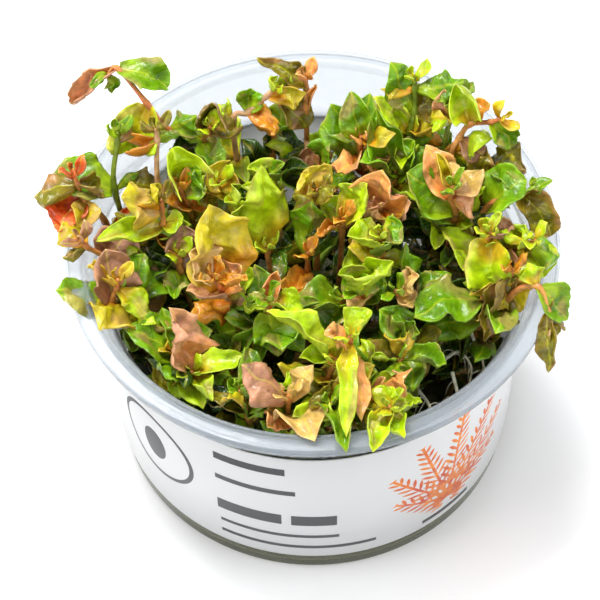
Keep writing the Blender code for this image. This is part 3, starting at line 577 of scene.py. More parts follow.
class Joint:
    """A place on a stem where up to two leaves grow, on opposite sides."""

    def __init__(self, place, *leaves):
        self.place = Vector(place)
        self.leaves = [leaf._replace(tip=Vector(leaf.tip)) for leaf in leaves]


Shoot = namedtuple("Shoot", "name joints")

CROWNS = [
    Shoot("arch_left", [
        Joint((-21, 28, 60)),
        Joint((-25, 24, 67)),
        Joint((-29, 20, 71),
              Leaf((-23, 22, 73), 5, "G"),
              Leaf((-35, 18, 70), 4, "O")),
        Joint((-33, 22, 77),
              Leaf((-37, 17, 68), 8, "L", droop=60)),
        Joint((-39, 28, 81),
              Leaf((-49, 26, 72), 6, "P", lift=25, droop=10),
              Leaf((-29, 26, 77), 7.5, "G", lift=20, droop=50)),
    ]),
    Shoot("left_mast", [
        Joint((-40, 10, 64),
              Leaf((-53, 12, 66), 7.5, "G", lift=35, droop=40),
              Leaf((-35, 13, 66), 2, "G")),
        Joint((-39, 15, 73),
              Leaf((-36, 18, 76), 3.5, "B")),
    ]),
    Shoot("left_bud", [
        Joint((-42, 5, 60)),
        Joint((-46, 7, 65),
              Leaf((-52, 2, 63), 6.5, "R", lift=20, droop=60),
              Leaf((-46, 0, 64), 5, "Y")),
        Joint((-47, 8, 69),
              Leaf((-56, 7, 66), 6, "B", lift=35, droop=60),
              Leaf((-42, 8, 66), 4.5, "B")),
    ]),
    Shoot("left_low", [
        Joint((-41, -4, 58),
              Leaf((-37, 1, 64), 7, "M")),
        Joint((-45, -4, 64),
              Leaf((-50, 1, 66), 6, "Y"),
              Leaf((-50, -6, 63), 3, "B")),
    ]),
    Shoot("left_pink", [
        Joint((-38, -12, 53),
              Leaf((-42, -22, 61), 7, "Y", lift=50, droop=60),
              Leaf((-34, -18, 57), 4, "Y")),
        Joint((-40, -13, 57),
              Leaf((-41, -6, 66), 8.5, "M", lift=5, droop=15),
              Leaf((-51, -13, 62), 7, "G", lift=30, droop=30)),
        Joint((-39, -12, 61),
              Leaf((-31, -18, 57), 4.5, "L", lift=60, droop=10)),
    ]),
    Shoot("yellow_left", [
        Joint((-31, 3, 58),
              Leaf((-40, 5, 63), 6, "B"),
              Leaf((-27, -2, 58), 4, "O")),
        Joint((-30, 2, 63),
              Leaf((-43, -4, 66), 5, "L", lift=15, droop=30, roll=-25),
              Leaf((-26, 1, 65), 4, "L")),
        Joint((-30, 3, 67),
              Leaf((-38, 3, 71), 8.5, "Y", lift=30, droop=40),
              Leaf((-32, 4, 74), 5.5, "Y")),
    ]),
    Shoot("pink_stalk", [
        Joint((-31, 10, 64),
              Leaf((-37, 11, 66), 4, "B")),
        Joint((-31, 15, 74),
              Leaf((-34, 15, 70), 5.5, "O", lift=60, droop=60),
              Leaf((-29, 18, 73), 5, "G")),
    ]),
    Shoot("lime_cup", [
        Joint((-25, 8, 61),
              Leaf((-30, 7, 65), 5, "O"),
              Leaf((-21, 8, 64), 4, "O")),
        Joint((-26, 8, 65),
              Leaf((-28, 12, 75), 8.5, "L", lift=10, droop=55),
              Leaf((-22, 9, 72), 6, "G", lift=10, droop=30)),
    ]),
    Shoot("olive_back", [
        Joint((-22, 22, 62),
              Leaf((-29, 17, 68), 5, "D"),
              Leaf((-23, 13, 66), 4, "P")),
        Joint((-22, 21, 66),
              Leaf((-19, 12, 65), 5, "G", lift=50, droop=60),
              Leaf((-28, 22, 70), 4, "G")),
        Joint((-21, 20, 70),
              Leaf((-20, 22, 77), 7.5, "B", lift=0, droop=10),
              Leaf((-15, 22, 68), 6, "B")),
    ]),
    Shoot("orange_back", [
        Joint((-16, 24, 68),
              Leaf((-19, 25, 73), 6.5, "L")),
        Joint((-13, 25, 70),
              Leaf((-7, 22, 67), 4.5, "O", lift=30, droop=50),
              Leaf((-12, 28, 74), 4.5, "G")),
        Joint((-9, 26, 74),
              Leaf((-1, 26, 75), 4, "Y", lift=10, droop=10, roll=40)),
    ]),
    Shoot("dark_back", [
        Joint((-8, 23, 60),
              Leaf((-10, 23, 64), 4, "D")),
        Joint((-6, 27, 71),
              Leaf((-7, 23, 65), 5.5, "G", lift=50, droop=50),
              Leaf((-1, 24, 66), 5, "B", lift=50, droop=40)),
    ]),
    Shoot("olive_arch", [
        Joint((-1, 26, 68),
              Leaf((1, 29, 74), 2, "S"),
              Leaf((-3, 25, 65), 4, "B")),
        Joint((-1, 28, 74),
              Leaf((-11, 32, 79), 3.8, "B", lift=75, droop=10)),
    ]),
    Shoot("finger_back", [
        Joint((0, 19, 54),
              Leaf((-1, 22, 60), 3, "P"),
              Leaf((-6, 23, 57), 5, "D")),
        Joint((1, 18, 59),
              Leaf((4, 19, 68), 4, "G", lift=0, droop=70),
              Leaf((9, 14, 62), 4, "G")),
    ]),
    Shoot("big_back", [
        Joint((11, 18, 58),
              Leaf((5, 21, 62), 4, "S"),
              Leaf((15, 18, 65), 5, "G")),
        Joint((10, 19, 62),
              Leaf((4, 24, 74), 7.5, "G", lift=10, droop=10)),
        Joint((10, 19, 67),
              Leaf((8, 24, 78), 5, "G"),
              Leaf((12, 25, 76), 4, "G")),
    ]),
    Shoot("tall_back", [
        Joint((17, 15, 60),
              Leaf((13, 22, 75), 7.5, "G", lift=0, droop=15),
              Leaf((21, 19, 68), 7, "G")),
    ]),
    Shoot("right_crown", [
        Joint((20, 22, 65),
              Leaf((17, 26, 71), 5, "L"),
              Leaf((25, 23, 68), 4.5, "G")),
        Joint((21, 24, 71),
              Leaf((16, 29, 81), 5.5, "G", lift=10, droop=30),
              Leaf((26, 26, 75), 7, "B", lift=20, droop=30)),
        Joint((21, 26, 76),
              Leaf((14, 26, 76), 4.5, "Y", lift=40, droop=60),
              Leaf((31, 26, 78), 6, "G", lift=30, droop=30)),
    ]),
    Shoot("right_back", [
        Joint((27, 19, 64),
              Leaf((19, 21, 66), 4.5, "G")),
        Joint((28, 22, 70),
              Leaf((24, 24, 71), 5, "B"),
              Leaf((27, 25, 77), 4, "P")),
    ]),
    Shoot("orange_right", [
        Joint((28, 16, 65),
              Leaf((25, 13, 69), 3.5, "Y")),
        Joint((30, 18, 70),
              Leaf((35, 15, 67), 4.5, "M", lift=20, droop=50),
              Leaf((30, 16, 67), 4, "O")),
        Joint((32, 19, 73),
              Leaf((29, 23, 81), 8, "L", lift=0, droop=20),
              Leaf((36, 22, 76), 4, "O", lift=30, droop=60)),
        Joint((36, 18, 75),
              Leaf((40, 15, 70), 4.5, "G", lift=50, droop=40)),
    ]),
    Shoot("olive_fan", [
        Joint((35, 12, 62),
              Leaf((42, 16, 71), 7.5, "B", lift=10, droop=10),
              Leaf((35, 17, 69), 5, "B")),
    ]),
    Shoot("rose", [
        Joint((29, 7, 56),
              Leaf((22, 7, 58), 6, "G"),
              Leaf((34, 6, 60), 5, "L")),
        Joint((29, 6, 61),
              Leaf((19, 10, 69), 8, "G", lift=10, droop=40),
              Leaf((35, 8, 67), 4, "L")),
        Joint((28, 6, 65),
              Leaf((23, 14, 73), 5, "S", lift=5, droop=25),
              Leaf((33, 6, 69), 7, "P", lift=30, droop=50)),
        Joint((28, 5, 69),
              Leaf((25, 11, 74), 3.5, "Y"),
              Leaf((33, 9, 71), 6, "C", lift=30, droop=40)),
    ]),
    Shoot("right_droop", [
        Joint((35, 5, 63),
              Leaf((43, 7, 70), 8, "G", lift=30, droop=50),
              Leaf((32, 4, 60), 5, "D")),
        Joint((42, 5, 68),
              Leaf((48, -1, 62), 6, "B", lift=60, droop=30)),
    ]),
    Shoot("right_lime", [
        Joint((34, -3, 56),
              Leaf((30, -7, 59), 6, "L")),
        Joint((35, -4, 62),
              Leaf((43, -11, 63), 3.6, "P", lift=20, droop=20, roll=40),
              Leaf((39, -2, 66), 7, "L", lift=40, droop=60)),
        Joint((35, -5, 67),
              Leaf((36, -13, 60), 8.5, "L", lift=60, droop=30),
              Leaf((40, -4, 69), 4, "M")),
    ]),
    Shoot("right_crumple", [
        Joint((40, -4, 59),
              Leaf((38, -1, 66), 5, "L")),
        Joint((42, -5, 64),
              Leaf((46, -11, 62), 7, "L", lift=50, droop=40),
              Leaf((42, -4, 70), 5, "L")),
        Joint((43, -7, 68),
              Leaf((49, -8, 65), 7, "G", lift=25, droop=30)),
    ]),
    Shoot("right_hang", [
        Joint((38, -11, 58),
              Leaf((42, -14, 63), 4, "O"),
              Leaf((34, -9, 62), 5, "L")),
        Joint((39, -12, 64),
              Leaf((34, -21, 54), 5, "B", lift=60, droop=15),
              Leaf((40, -17, 58), 5.5, "Y", lift=60, droop=15)),
    ]),
    Shoot("right_tail", [
        Joint((39, -15, 61),
              Leaf((39, -18, 53), 4.5, "B")),
        Joint((44, -16, 66),
              Leaf((50, -20, 60), 5, "G", lift=50, droop=20),
              Leaf((42, -13, 70), 4, "L")),
        Joint((46, -20, 63),
              Leaf((46, -29, 55), 3, "B", lift=40, droop=10)),
    ]),
    Shoot("glossy_right", [
        Joint((34, -13, 50),
              Leaf((21, -17, 52), 5.5, "G", lift=20, droop=20)),
        Joint((34, -12, 56),
              Leaf((20, -17, 57), 7, "G", lift=35, droop=30),
              Leaf((32, -9, 61), 5, "G")),
    ]),
    Shoot("right_mid", [
        Joint((19, -9, 52),
              Leaf((28, -6, 56), 4, "G"),
              Leaf((19, -4, 57), 6, "D")),
        Joint((17, -12, 58),
              Leaf((21, -11, 63), 4.5, "C", lift=20, droop=20),
              Leaf((20, -15, 58), 4, "C", lift=30, droop=60)),
    ]),
    Shoot("right_front", [
        Joint((18, -20, 51),
              Leaf((13, -17, 60), 6, "G"),
              Leaf((21, -20, 56), 4.5, "G")),
        Joint((17, -26, 56),
              Leaf((26, -28, 57), 5, "G", lift=30, droop=20),
              Leaf((16, -26, 63), 4.5, "Y")),
    ]),
    Shoot("beige_front", [
        Joint((11, -35, 55),
              Leaf((19, -32, 62), 5, "S", lift=10, droop=10),
              Leaf((15, -41, 54), 4.5, "G")),
    ]),
    Shoot("star_front", [
        Joint((13, -39, 55),
              Leaf((21, -36, 56), 4, "L"),
              Leaf((17, -48, 62.6), 5, "L")),
        Joint((14, -41, 61),
              Leaf((11, -51, 62.6), 4.5, "L", lift=40, droop=20),
              Leaf((15, -38, 65), 5.5, "L", lift=10, droop=30)),
    ]),
    Shoot("ribbon_front", [
        Joint((7, -28, 58),
              Leaf((12, -28, 61), 5, "L"),
              Leaf((3, -31, 62), 5, "O")),
        Joint((7, -28, 63),
              Leaf((9, -44, 62), 3.6, "S", lift=50, droop=20),
              Leaf((2, -28, 68), 6, "S")),
        Joint((7, -29, 67),
              Leaf((6, -48, 62.8), 3, "L", lift=55, droop=10),
              Leaf((11, -23, 69), 5, "L")),
    ]),
    Shoot("rim_tongue", [
        Joint((3, -38, 57),
              Leaf((6, -51, 62.6), 4.5, "G", lift=50, droop=20),
              Leaf((2, -36, 62), 5.5, "B", lift=5, droop=10)),
    ]),
    Shoot("sash_front", [
        Joint((3, -30, 55),
              Leaf((-6, -34, 58), 6, "L", lift=20, droop=20),
              Leaf((1, -34, 60), 5, "Y")),
        Joint((4, -30, 60),
              Leaf((-9, -23, 69), 5.5, "L", lift=20, droop=20, roll=20)),
    ]),
    Shoot("mauve_front", [
        Joint((-5, -37, 52),
              Leaf((0, -48, 61.8), 7.5, "C", lift=40, droop=40),
              Leaf((-9, -42, 57), 5, "S")),
        Joint((-5, -37, 58),
              Leaf((-14, -32, 64), 7, "M", lift=20, droop=20),
              Leaf((0, -31, 62), 4.5, "C")),
    ]),
    Shoot("green_front", [
        Joint((-13, -34, 48),
              Leaf((-17, -29, 54), 6.5, "G"),
              Leaf((-4, -33, 53), 5.5, "G")),
        Joint((-14, -33, 53),
              Leaf((-21, -32, 50), 5, "D"),
              Leaf((-10, -32, 57), 4.5, "G")),
    ]),
    Shoot("pink_front", [
        Joint((-24, -25, 47),
              Leaf((-28, -28, 46), 4, "L"),
              Leaf((-19, -24, 51), 4.5, "B")),
        Joint((-24, -27, 52),
              Leaf((-28, -20, 66), 7.5, "P", lift=0, droop=20)),
    ]),
    Shoot("green_left", [
        Joint((-28, -22, 46),
              Leaf((-32, -26, 46), 4.5, "Y"),
              Leaf((-33, -21, 50), 5, "G")),
        Joint((-28, -22, 51),
              Leaf((-37, -20, 58), 8, "G", lift=35, droop=30),
              Leaf((-25, -18, 57), 5, "G")),
    ]),
    Shoot("hero", [
        Joint((-16, -10, 52),
              Leaf((-25, -16, 56), 6, "O"),
              Leaf((-11, -17, 55), 5, "D")),
        Joint((-17, -12, 57),
              Leaf((-25, -14, 63), 5.5, "P", lift=30, droop=30),
              Leaf((-12, -8, 62), 5, "L")),
        Joint((-18, -13, 61),
              Leaf((-20, -4, 78), 11, "Y", lift=0, droop=35),
              Leaf((-14, -11, 67), 6, "S", lift=5, droop=40)),
        Joint((-19, -14, 66),
              Leaf((-24, -12, 73), 7, "C")),
    ]),
    Shoot("dark_left", [
        Joint((-27, -2, 52),
              Leaf((-35, -1, 54), 7, "D"),
              Leaf((-28, -10, 54), 5, "G")),
        Joint((-27, -2, 56),
              Leaf((-33, 4, 58), 6, "D", lift=20, droop=20),
              Leaf((-26, 2, 63), 5, "M")),
    ]),
    Shoot("mauve_mid", [
        Joint((-17, -21, 47),
              Leaf((-24, -20, 49), 6, "B"),
              Leaf((-15, -17, 51), 6, "G", lift=20, droop=30)),
    ]),
    Shoot("banner", [
        Joint((-9, 0, 55),
              Leaf((-10, 7, 76), 8, "L", lift=0, droop=40),
              Leaf((-4, 1, 57), 5, "D")),
    ]),
    Shoot("curl_mid", [
        Joint((-15, 5, 60),
              Leaf((-19, 3, 58), 5, "D"),
              Leaf((-10, 5, 68), 6.5, "L", lift=40, droop=70)),
        Joint((-15, 5, 64),
              Leaf((-16, 6, 71), 6, "L", lift=0, droop=30)),
    ]),
    Shoot("yellow_back", [
        Joint((-20, 10, 62),
              Leaf((-23, 7, 63), 4, "L"),
              Leaf((-14, 7, 66), 6, "Y", lift=40, droop=50)),
        Joint((-19, 9, 66),
              Leaf((-21, 10, 71), 6, "Y", lift=10, droop=30)),
    ]),
    Shoot("curl_back", [
        Joint((-9, 13, 62),
              Leaf((-6, 13, 65), 4.5, "G", lift=70, droop=70),
              Leaf((-13, 12, 68), 5, "L")),
    ]),
    Shoot("mid_green", [
        Joint((-1, 0, 49),
              Leaf((-5, -9, 52), 5, "O"),
              Leaf((4, -4, 50), 5, "D")),
        Joint((-1, -1, 55),
              Leaf((0, 4, 68), 6, "G", lift=0, droop=20),
              Leaf((4, 1, 60), 4, "D")),
    ]),
    Shoot("mid_yellow", [
        Joint((1, 7, 63),
              Leaf((-4, 8, 64), 6.5, "B", lift=30, droop=60),
              Leaf((4, 7, 67), 3.5, "Y")),
        Joint((1, 6, 67),
              Leaf((-1, 9, 72), 6.5, "Y", lift=5, droop=50)),
    ]),
    Shoot("lime_mid", [
        Joint((6, 3, 59),
              Leaf((7, 7, 64), 5, "O"),
              Leaf((2, 7, 64), 5, "L")),
        Joint((6, 2, 63),
              Leaf((11, 6, 71), 6, "L", lift=0, droop=20)),
    ]),
    Shoot("salmon_mid", [
        Joint((15, 6, 58),
              Leaf((20, 7, 63), 5, "P"),
              Leaf((10, 5, 62), 4, "C")),
        Joint((14, 5, 63),
              Leaf((14, 7, 74), 8, "S", lift=0, droop=45),
              Leaf((18, 3, 64), 5.5, "O")),
    ]),
    Shoot("cup_mid", [
        Joint((14, -1, 53),
              Leaf((6, -5, 57), 6, "L", lift=20, droop=30),
              Leaf((18, -5, 57), 5.5, "L")),
        Joint((14, -2, 58),
              Leaf((7, -4, 63), 6, "Y", lift=20, droop=40),
              Leaf((17, -4, 64), 6, "G")),
        Joint((14, -2, 62),
              Leaf((7, -4, 67), 6.5, "L", lift=10, droop=20),
              Leaf((18, -2, 67), 5, "G")),
    ]),
    Shoot("ring_mid", [
        Joint((10, -10, 53),
              Leaf((15, -9, 57), 5, "G"),
              Leaf((8, -16, 57), 4.5, "C", lift=60, droop=60)),
        Joint((9, -12, 58),
              Leaf((5, -12, 65), 7, "L", lift=20, droop=50),
              Leaf((16, -9, 65), 6, "L", lift=20, droop=20)),
    ]),
    Shoot("olive_mid", [
        Joint((6, -10, 52),
              Leaf((-4, -15, 56), 7.5, "G", lift=30, droop=20),
              Leaf((3, -17, 52), 6, "G")),
    ]),
    Shoot("glossy_front", [
        Joint((-9, -14, 52),
              Leaf((-2, -21, 51), 6.5, "G"),
              Leaf((-14, -14, 58), 5, "L")),
        Joint((-9, -15, 57),
              Leaf((-7, -24, 54), 6.5, "G", lift=50, droop=20),
              Leaf((-7, -11, 65), 4.5, "S", lift=5, droop=10)),
        Joint((-9, -16, 61),
              Leaf((-2, -17, 60), 4.5, "L")),
    ]),
]
print(len(CROWNS), "shoots,", sum(len(j.leaves) for s in CROWNS for j in s.joints), "read leaves")

# %% [markdown]
# A leaf's colour runs from its base over its body to its margin, and its underside has a
# colour of its own, which on rotala is often rosy. A picture laid on each leaf could show
# that, but it would have to be painted for every leaf. So each tone holds these four
# colours. A point's colour is worked out as the blade is made, and the mesh keeps it.

# %% The leaves' tones
Look = namedtuple("Look", "base body edge back")
LOOKS = {
    "L": Look("#B8981A", "#A8C808", "#BCD428", "#A9B83C"),
    "G": Look("#86A010", "#5C8A06", "#82AE12", "#84983C"),
    # D is dark green, as the deep leaves are, and darker still as painted shade deep in the tangle.
    "D": Look("#38500A", "#1C3C04", "#305C08", "#46601C"),
    "Y": Look("#C88418", "#BCAE14", "#D8BC44", "#BC9834"),
    "S": Look("#CC7428", "#DE9450", "#E4B06C", "#C8845C"),
    "M": Look("#946040", "#A8785C", "#B88C6C", "#AC7E68"),
    "P": Look("#C07C40", "#D09068", "#DCAC7C", "#C49074"),
    "B": Look("#64540A", "#747014", "#8C701C", "#84643C"),
    "O": Look("#B86410", "#D08420", "#DCAC3C", "#BC7C34"),
    "C": Look("#B88834", "#C8A458", "#DCB878", "#C09460"),
    "R": Look("#B02C0A", "#D44A14", "#DC7C34", "#C45C3C"),
}
TONES = {tone: Look(*map(tone_of, look)) for tone, look in LOOKS.items()}
BLUSH = tone_of("#B87A62")
# Where the body's colour begins and is full along a blade, then the edge's colour out to
# the margin and on to the tip, and the blush over the slow noise
BODY_BEGINS = (0.05, 0.45)
MARGIN_BEGINS = (0.3, 1.2)
TIP_BEGINS = (0.75, 1.0)
BLUSH_BEGINS = (0.2, 0.8)
MARGIN_SHARE = 0.7
TIP_SHARE = 0.5
BLUSH_SHARE = 0.45
# How far the slow noise moves those places
SHIFT_ALONG = 0.2
SHIFT_ACROSS = 0.5


def blade_tone(look, along, across, patch):
    """The top's colour at a place on a blade, where patch is a slow noise from -1 to 1."""
    tone = look.base.lerp(look.body, smooth_step(*BODY_BEGINS, along + patch * SHIFT_ALONG))
    outward = smooth_step(*MARGIN_BEGINS, abs(across) + patch * SHIFT_ACROSS)
    tone = tone.lerp(look.edge, MARGIN_SHARE * outward)
    tone = tone.lerp(look.edge, TIP_SHARE * smooth_step(*TIP_BEGINS, along))
    return tone.lerp(BLUSH, BLUSH_SHARE * smooth_step(*BLUSH_BEGINS, patch))


print(len(TONES), "tones")

# %% [markdown]
# A leaf is a thin blade. It could be modelled once and copied, but then every leaf would
# have the same folds. So each starts as a flat grid, and one formula moves every point:
# along a curve from the stem to the tip, out to the blade's breadth there, up or down as
# the blade is folded and curled, and up and down again where its margin is ruffled. Slow
# noise crumples it a little, so that no two leaves are alike.

# %% The curve and the breadth of a leaf
RIM_LOOKS_IN = 0.35
WIDEST = 0.38
BASE_SHARE = 0.3
# The higher, the later and the more suddenly a blade narrows to its tip
TIP_POWER = 2.3


def along_curve(start, pull_a, pull_b, end, t):
    """A point on a Bezier curve and its direction there."""
    s = 1 - t
    point = s**3 * start + 3 * s * s * t * pull_a + 3 * s * t * t * pull_b + t**3 * end
    slope = s * s * (pull_a - start) + 2 * s * t * (pull_b - pull_a) + t * t * (end - pull_b)
    return point, slope.normalized()


def leaf_breadth(t):
    """The share of a blade's full width at a place from its base, 0, to its pointed tip, 1."""
    if t < WIDEST:
        return BASE_SHARE + (1 - BASE_SHARE) * math.sin(t / WIDEST * math.pi / 2)
    return 1 - ((t - WIDEST) / (1 - WIDEST)) ** TIP_POWER


def leaf_up(base, chord):
    """The side that a leaf's top faces: up, and a little to the middle of the cup."""
    inward = Vector((-base.x, -base.y, 0)) * (RIM_LOOKS_IN / RIM_RADIUS)
    facing = UP + inward
    return (facing - chord * chord.dot(facing)).normalized()


print("a leaf is widest", WIDEST, "of the way to its tip")

# %% The form of a leaf
LEAF_REACH = 0.4
LEAF_SPREAD = 1.6
# Above this height a blade bends over, so that none stands up out of the part.
BEND_OVER = 81.0
BEND_SHARE = 0.4
# What differs from leaf to leaf, from its least to its most. Folds and twists are in
# degrees and waves in millimetres. Pleats are counted in half waves from the midrib to the
# margin. Pleats and ruffles are as high as a share of half the width.
FOLDS = (0, 22)
CURLS = (-1.8, 0.6, 1.2, 2.2)
CURL_SHARES = (0.4, 1.1)
TWISTS = (-50, 50)
PLEATS = (1.0, 2.2)
PLEAT_HEIGHTS = (0.05, 0.17)
WAVE_LENGTHS = (6.0, 10.0)
RUFFLES = (0.15, 0.4)
CRUMPLES = (0.8, 1.9)
NOISE_PLACES = (-90, 90)
# A blade twists about the first of these shares of its length. The noise moves it freely
# only between the other two, so that its base and its tip stay where they were read.
TWIST_CENTRE = 0.3
LOOSE_FROM = 0.3
LOOSE_TO = 0.8
PLEAT_SLANT = 2
WAVE_SWAY = 0.5
# How often the noise changes in a millimetre, and the creases with the share of each
CRUMPLE_RATE = 0.22
CREASES = ((0.35, 1), (0.8, 0.5), (1.4, 0.3))
CREASE_DEPTH = 1.3
PATCH_RATES = (2.2, 1.1)
PATCH_RANGE = 1.6
UNDER_SHARE = 0.25
# noise_vector starts from the clock unless it is given a seed.
NOISE_SEED = 7
noise.seed_set(NOISE_SEED)

Grid = namedtuple("Grid", "along across")
CROWN_GRID = Grid(26, 14)
FILLER_GRID = Grid(10, 6)
BUD_GRID = Grid(8, 4)


class Blade:
    """One leaf's blade, which knows where each place of its flat grid goes."""

    def __init__(self, leaf, base, out, chance, wildness=1.0, broader=1.0):
        self.leaf = leaf
        self.half = leaf.width / 2 * broader
        self.base = base
        chord = leaf.tip - base
        self.length = chord.length
        chord.normalize()
        self.face = Quaternion(chord, math.radians(leaf.roll)) @ leaf_up(base, chord)
        lift = math.radians(leaf.lift)
        droop = math.radians(leaf.droop)
        reach = self.length * LEAF_REACH
        self.pull_a = base + reach * (math.cos(lift) * chord + math.sin(lift) * self.face)
        self.pull_a += out * LEAF_SPREAD
        self.pull_b = leaf.tip - reach * (math.cos(droop) * chord - math.sin(droop) * self.face)
        self.fold = math.radians(chance.uniform(*FOLDS))
        self.curl = chance.choice(CURLS) * chance.uniform(*CURL_SHARES) * wildness
        self.twist = math.radians(chance.uniform(*TWISTS)) * wildness
        self.pleats = math.pi * chance.uniform(*PLEATS)
        self.pleat = chance.uniform(*PLEAT_HEIGHTS) * wildness
        self.waves = math.tau * self.length / chance.uniform(*WAVE_LENGTHS)
        self.phases = (chance.uniform(0, math.tau), chance.uniform(0, math.tau))
        self.ruffle = chance.uniform(*RUFFLES) * wildness
        self.crumple = chance.uniform(*CRUMPLES) * wildness
        self.own = Vector([chance.uniform(*NOISE_PLACES) for _ in range(3)])
        self.look = TONES[leaf.tone]

    def place(self, along, across):
        """The point of the blade at a share of its length and of its half width."""
        middle, ahead = along_curve(self.base, self.pull_a, self.pull_b, self.leaf.tip, along)
        top = (self.face - ahead * ahead.dot(self.face)).normalized()
        top = Quaternion(ahead, self.twist * (along - TWIST_CENTRE)) @ top
        side = top.cross(ahead)
        half = self.half * leaf_breadth(along)
        reach = abs(across)
        bend = self.curl * reach / 2
        slope = self.fold + bend
        spread = half * (math.sin(bend) / bend if bend else 1)
        folds = self.pleats * across + self.phases[0] + PLEAT_SLANT * along
        pleat = self.pleat * half * math.sin(folds)
        wave = self.waves * along + self.phases[0 if across > 0 else 1]
        ruffle = self.ruffle * half * reach**2
        point = middle + side * (across * spread * math.cos(slope))
        point += top * (reach * spread * math.sin(slope) + ruffle * math.sin(wave) + pleat)
        point += ahead * (WAVE_SWAY * ruffle * math.cos(wave))
        loose = smooth_step(0, LOOSE_FROM, along) * smooth_step(1, LOOSE_TO, along)
        slow = noise.noise_vector(point * CRUMPLE_RATE + self.own) * self.crumple
        crease = sum(abs(noise.noise(point * rate - self.own)) * share
                     for rate, share in CREASES)
        point += (slow - top * (CREASE_DEPTH * self.crumple * crease)) * loose
        point.z -= (1 - BEND_SHARE) * max(0, point.z - BEND_OVER)
        return point

    def patch(self, along, across):
        """Slow noise over the blade, from about -1 to 1."""
        place = Vector((along * PATCH_RATES[0], across * PATCH_RATES[1], 0))
        return PATCH_RANGE * noise.noise(place + self.own)


def add_blade(shape, layers, blade, grid):
    """Adds a blade's grid to the shape, bent to its form, with its colours."""
    made = bmesh.ops.create_grid(shape, x_segments=grid.along, y_segments=grid.across, size=1)
    for vert in made["verts"]:
        along = (vert.co.x + 1) / 2
        across = vert.co.y
        patch = blade.patch(along, across)
        vert[layers.along] = along * blade.length
        vert[layers.across] = across * leaf_breadth(along) * blade.half
        vert[layers.tone] = (*blade_tone(blade.look, along, across, patch), 1)
        under = blade.look.back.lerp(blade.look.body, UNDER_SHARE + UNDER_SHARE * patch)
        vert[layers.back] = (*under, 1)
        vert.co = blade.place(along, across)
    bmesh.ops.remove_doubles(shape, verts=made["verts"], dist=MERGE_WITHIN)


print("a crown leaf has", CROWN_GRID.along * CROWN_GRID.across, "faces a side")

# %% [markdown]
# A stem is a round tube round a smooth curve through its joints. A curve object with a
# bevel could draw it, but here the stem and its leaves end up in one mesh, so it is built
# as a mesh from the start. The curve is the kind that passes through its own points. The
# tube is again a grid, which is rolled up until its two long edges meet and are merged.

# %% A tube along a smooth path
Layers = namedtuple("Layers", "along across tone back lean")
TUBE_MERGE_WITHIN = 0.0001


def new_shape():
    """An empty bmesh with the layers that leaves and stems use."""
    shape = bmesh.new()
    kinds = shape.verts.layers
    for name in ("along", "across"):
        kinds.float.new(name)
    for name in ("tone", "back"):
        kinds.float_color.new(name)
    kinds.float_vector.new("lean")
    return shape, Layers(kinds.float["along"], kinds.float["across"], kinds.float_color["tone"],
                         kinds.float_color["back"], kinds.float_vector["lean"])


def smooth_path(points, steps):
    """Points along a smooth curve that passes through the given ones."""
    ends = [2 * points[0] - points[1], *points, 2 * points[-1] - points[-2]]
    path = []
    for a, b, c, d in zip(ends, ends[1:], ends[2:], ends[3:]):
        for n in range(steps):
            t = n / steps
            path.append(0.5 * (2 * b + (c - a) * t + (2 * a - 5 * b + 4 * c - d) * t * t
                               + (3 * b - a - 3 * c + d) * t**3))
    return path + [points[-1]]


def add_tube(shape, layers, path, radius_at, tone_at, sides):
    """Adds a round tube along a path, with its radius and colour given along it."""
    made = bmesh.ops.create_grid(shape, x_segments=len(path) - 1, y_segments=sides, size=1)
    frames = []
    beside = Vector((0, 1, 0))
    for n, point in enumerate(path):
        ahead = (path[min(n + 1, len(path) - 1)] - path[max(n - 1, 0)]).normalized()
        beside = (beside - ahead * ahead.dot(beside)).normalized()
        frames.append((point, beside, ahead.cross(beside)))
    travelled = [0.0]
    for before, point in zip(path, path[1:]):
        travelled.append(travelled[-1] + (point - before).length)
    for vert in made["verts"]:
        n = round((vert.co.x + 1) / 2 * (len(path) - 1))
        angle = vert.co.y * math.pi
        point, beside, above = frames[n]
        radius = radius_at(n)
        vert[layers.along] = travelled[n]
        vert[layers.across] = angle * radius
        vert[layers.tone] = (*tone_at(n, angle), 1)
        vert.co = point + (beside * math.cos(angle) + above * math.sin(angle)) * radius
    bmesh.ops.remove_doubles(shape, verts=made["verts"], dist=TUBE_MERGE_WITHIN)
    tube = {vert for vert in made["verts"] if vert.is_valid}
    open_edges = [edge for vert in tube for edge in vert.link_edges if edge.is_boundary]
    bmesh.ops.holes_fill(shape, edges=list(set(open_edges)), sides=sides)
    skin = {face for vert in tube for face in vert.link_faces}
    bmesh.ops.recalc_face_normals(shape, faces=list(skin))


print("a shape keeps", len(Layers._fields), "values at each point")

# %% [markdown]
# A living stem swells a little at every joint, thins towards its bud and reddens upwards,
# where it gets more light. One side of it stays greener, and that side winds round it. The
# colours could be painted on later, but where the tube is made each point's height is known.

# %% The form of a stem
STEM_RADIUS = 0.62
STEM_TIP_RADIUS = 0.42
STEM_END_RADIUS = 0.3
STEM_SIDES = 10
STEPS_A_STRETCH = 8
JOINT_SWELL = 0.22
JOINT_HALF = 1.1
BUD_LENGTH = 1.6
BUD_RISE = 0.3
# The way a tip points that hangs over
NODDING_TIPS = {"arch_left": Vector((-1, -0.5, -0.7)), "right_tail": Vector((0.3, -0.6, -1))}
FOOT_DRAW_IN = 0.8
FOOT_IN_GEL = 1.2
LOW_SHARE = 0.55
STEM_LOW = tone_of("#6E5A1E")
STEM_GREEN = tone_of("#8C9A32")
STEM_TOP = tone_of("#CC7C48")
PINK_TOP = tone_of("#D8A080")
GREEN_TOP = tone_of("#6E861C")
OTHER_TOPS = {"left_mast": GREEN_TOP, "right_crown": GREEN_TOP, "right_back": GREEN_TOP,
              "orange_back": PINK_TOP, "pink_stalk": PINK_TOP}
# The heights between which a stem turns from its low colour to its top's
REDDENS = (30, 52)
GREEN_SHARE = 0.15
GREEN_WINDS = 0.15


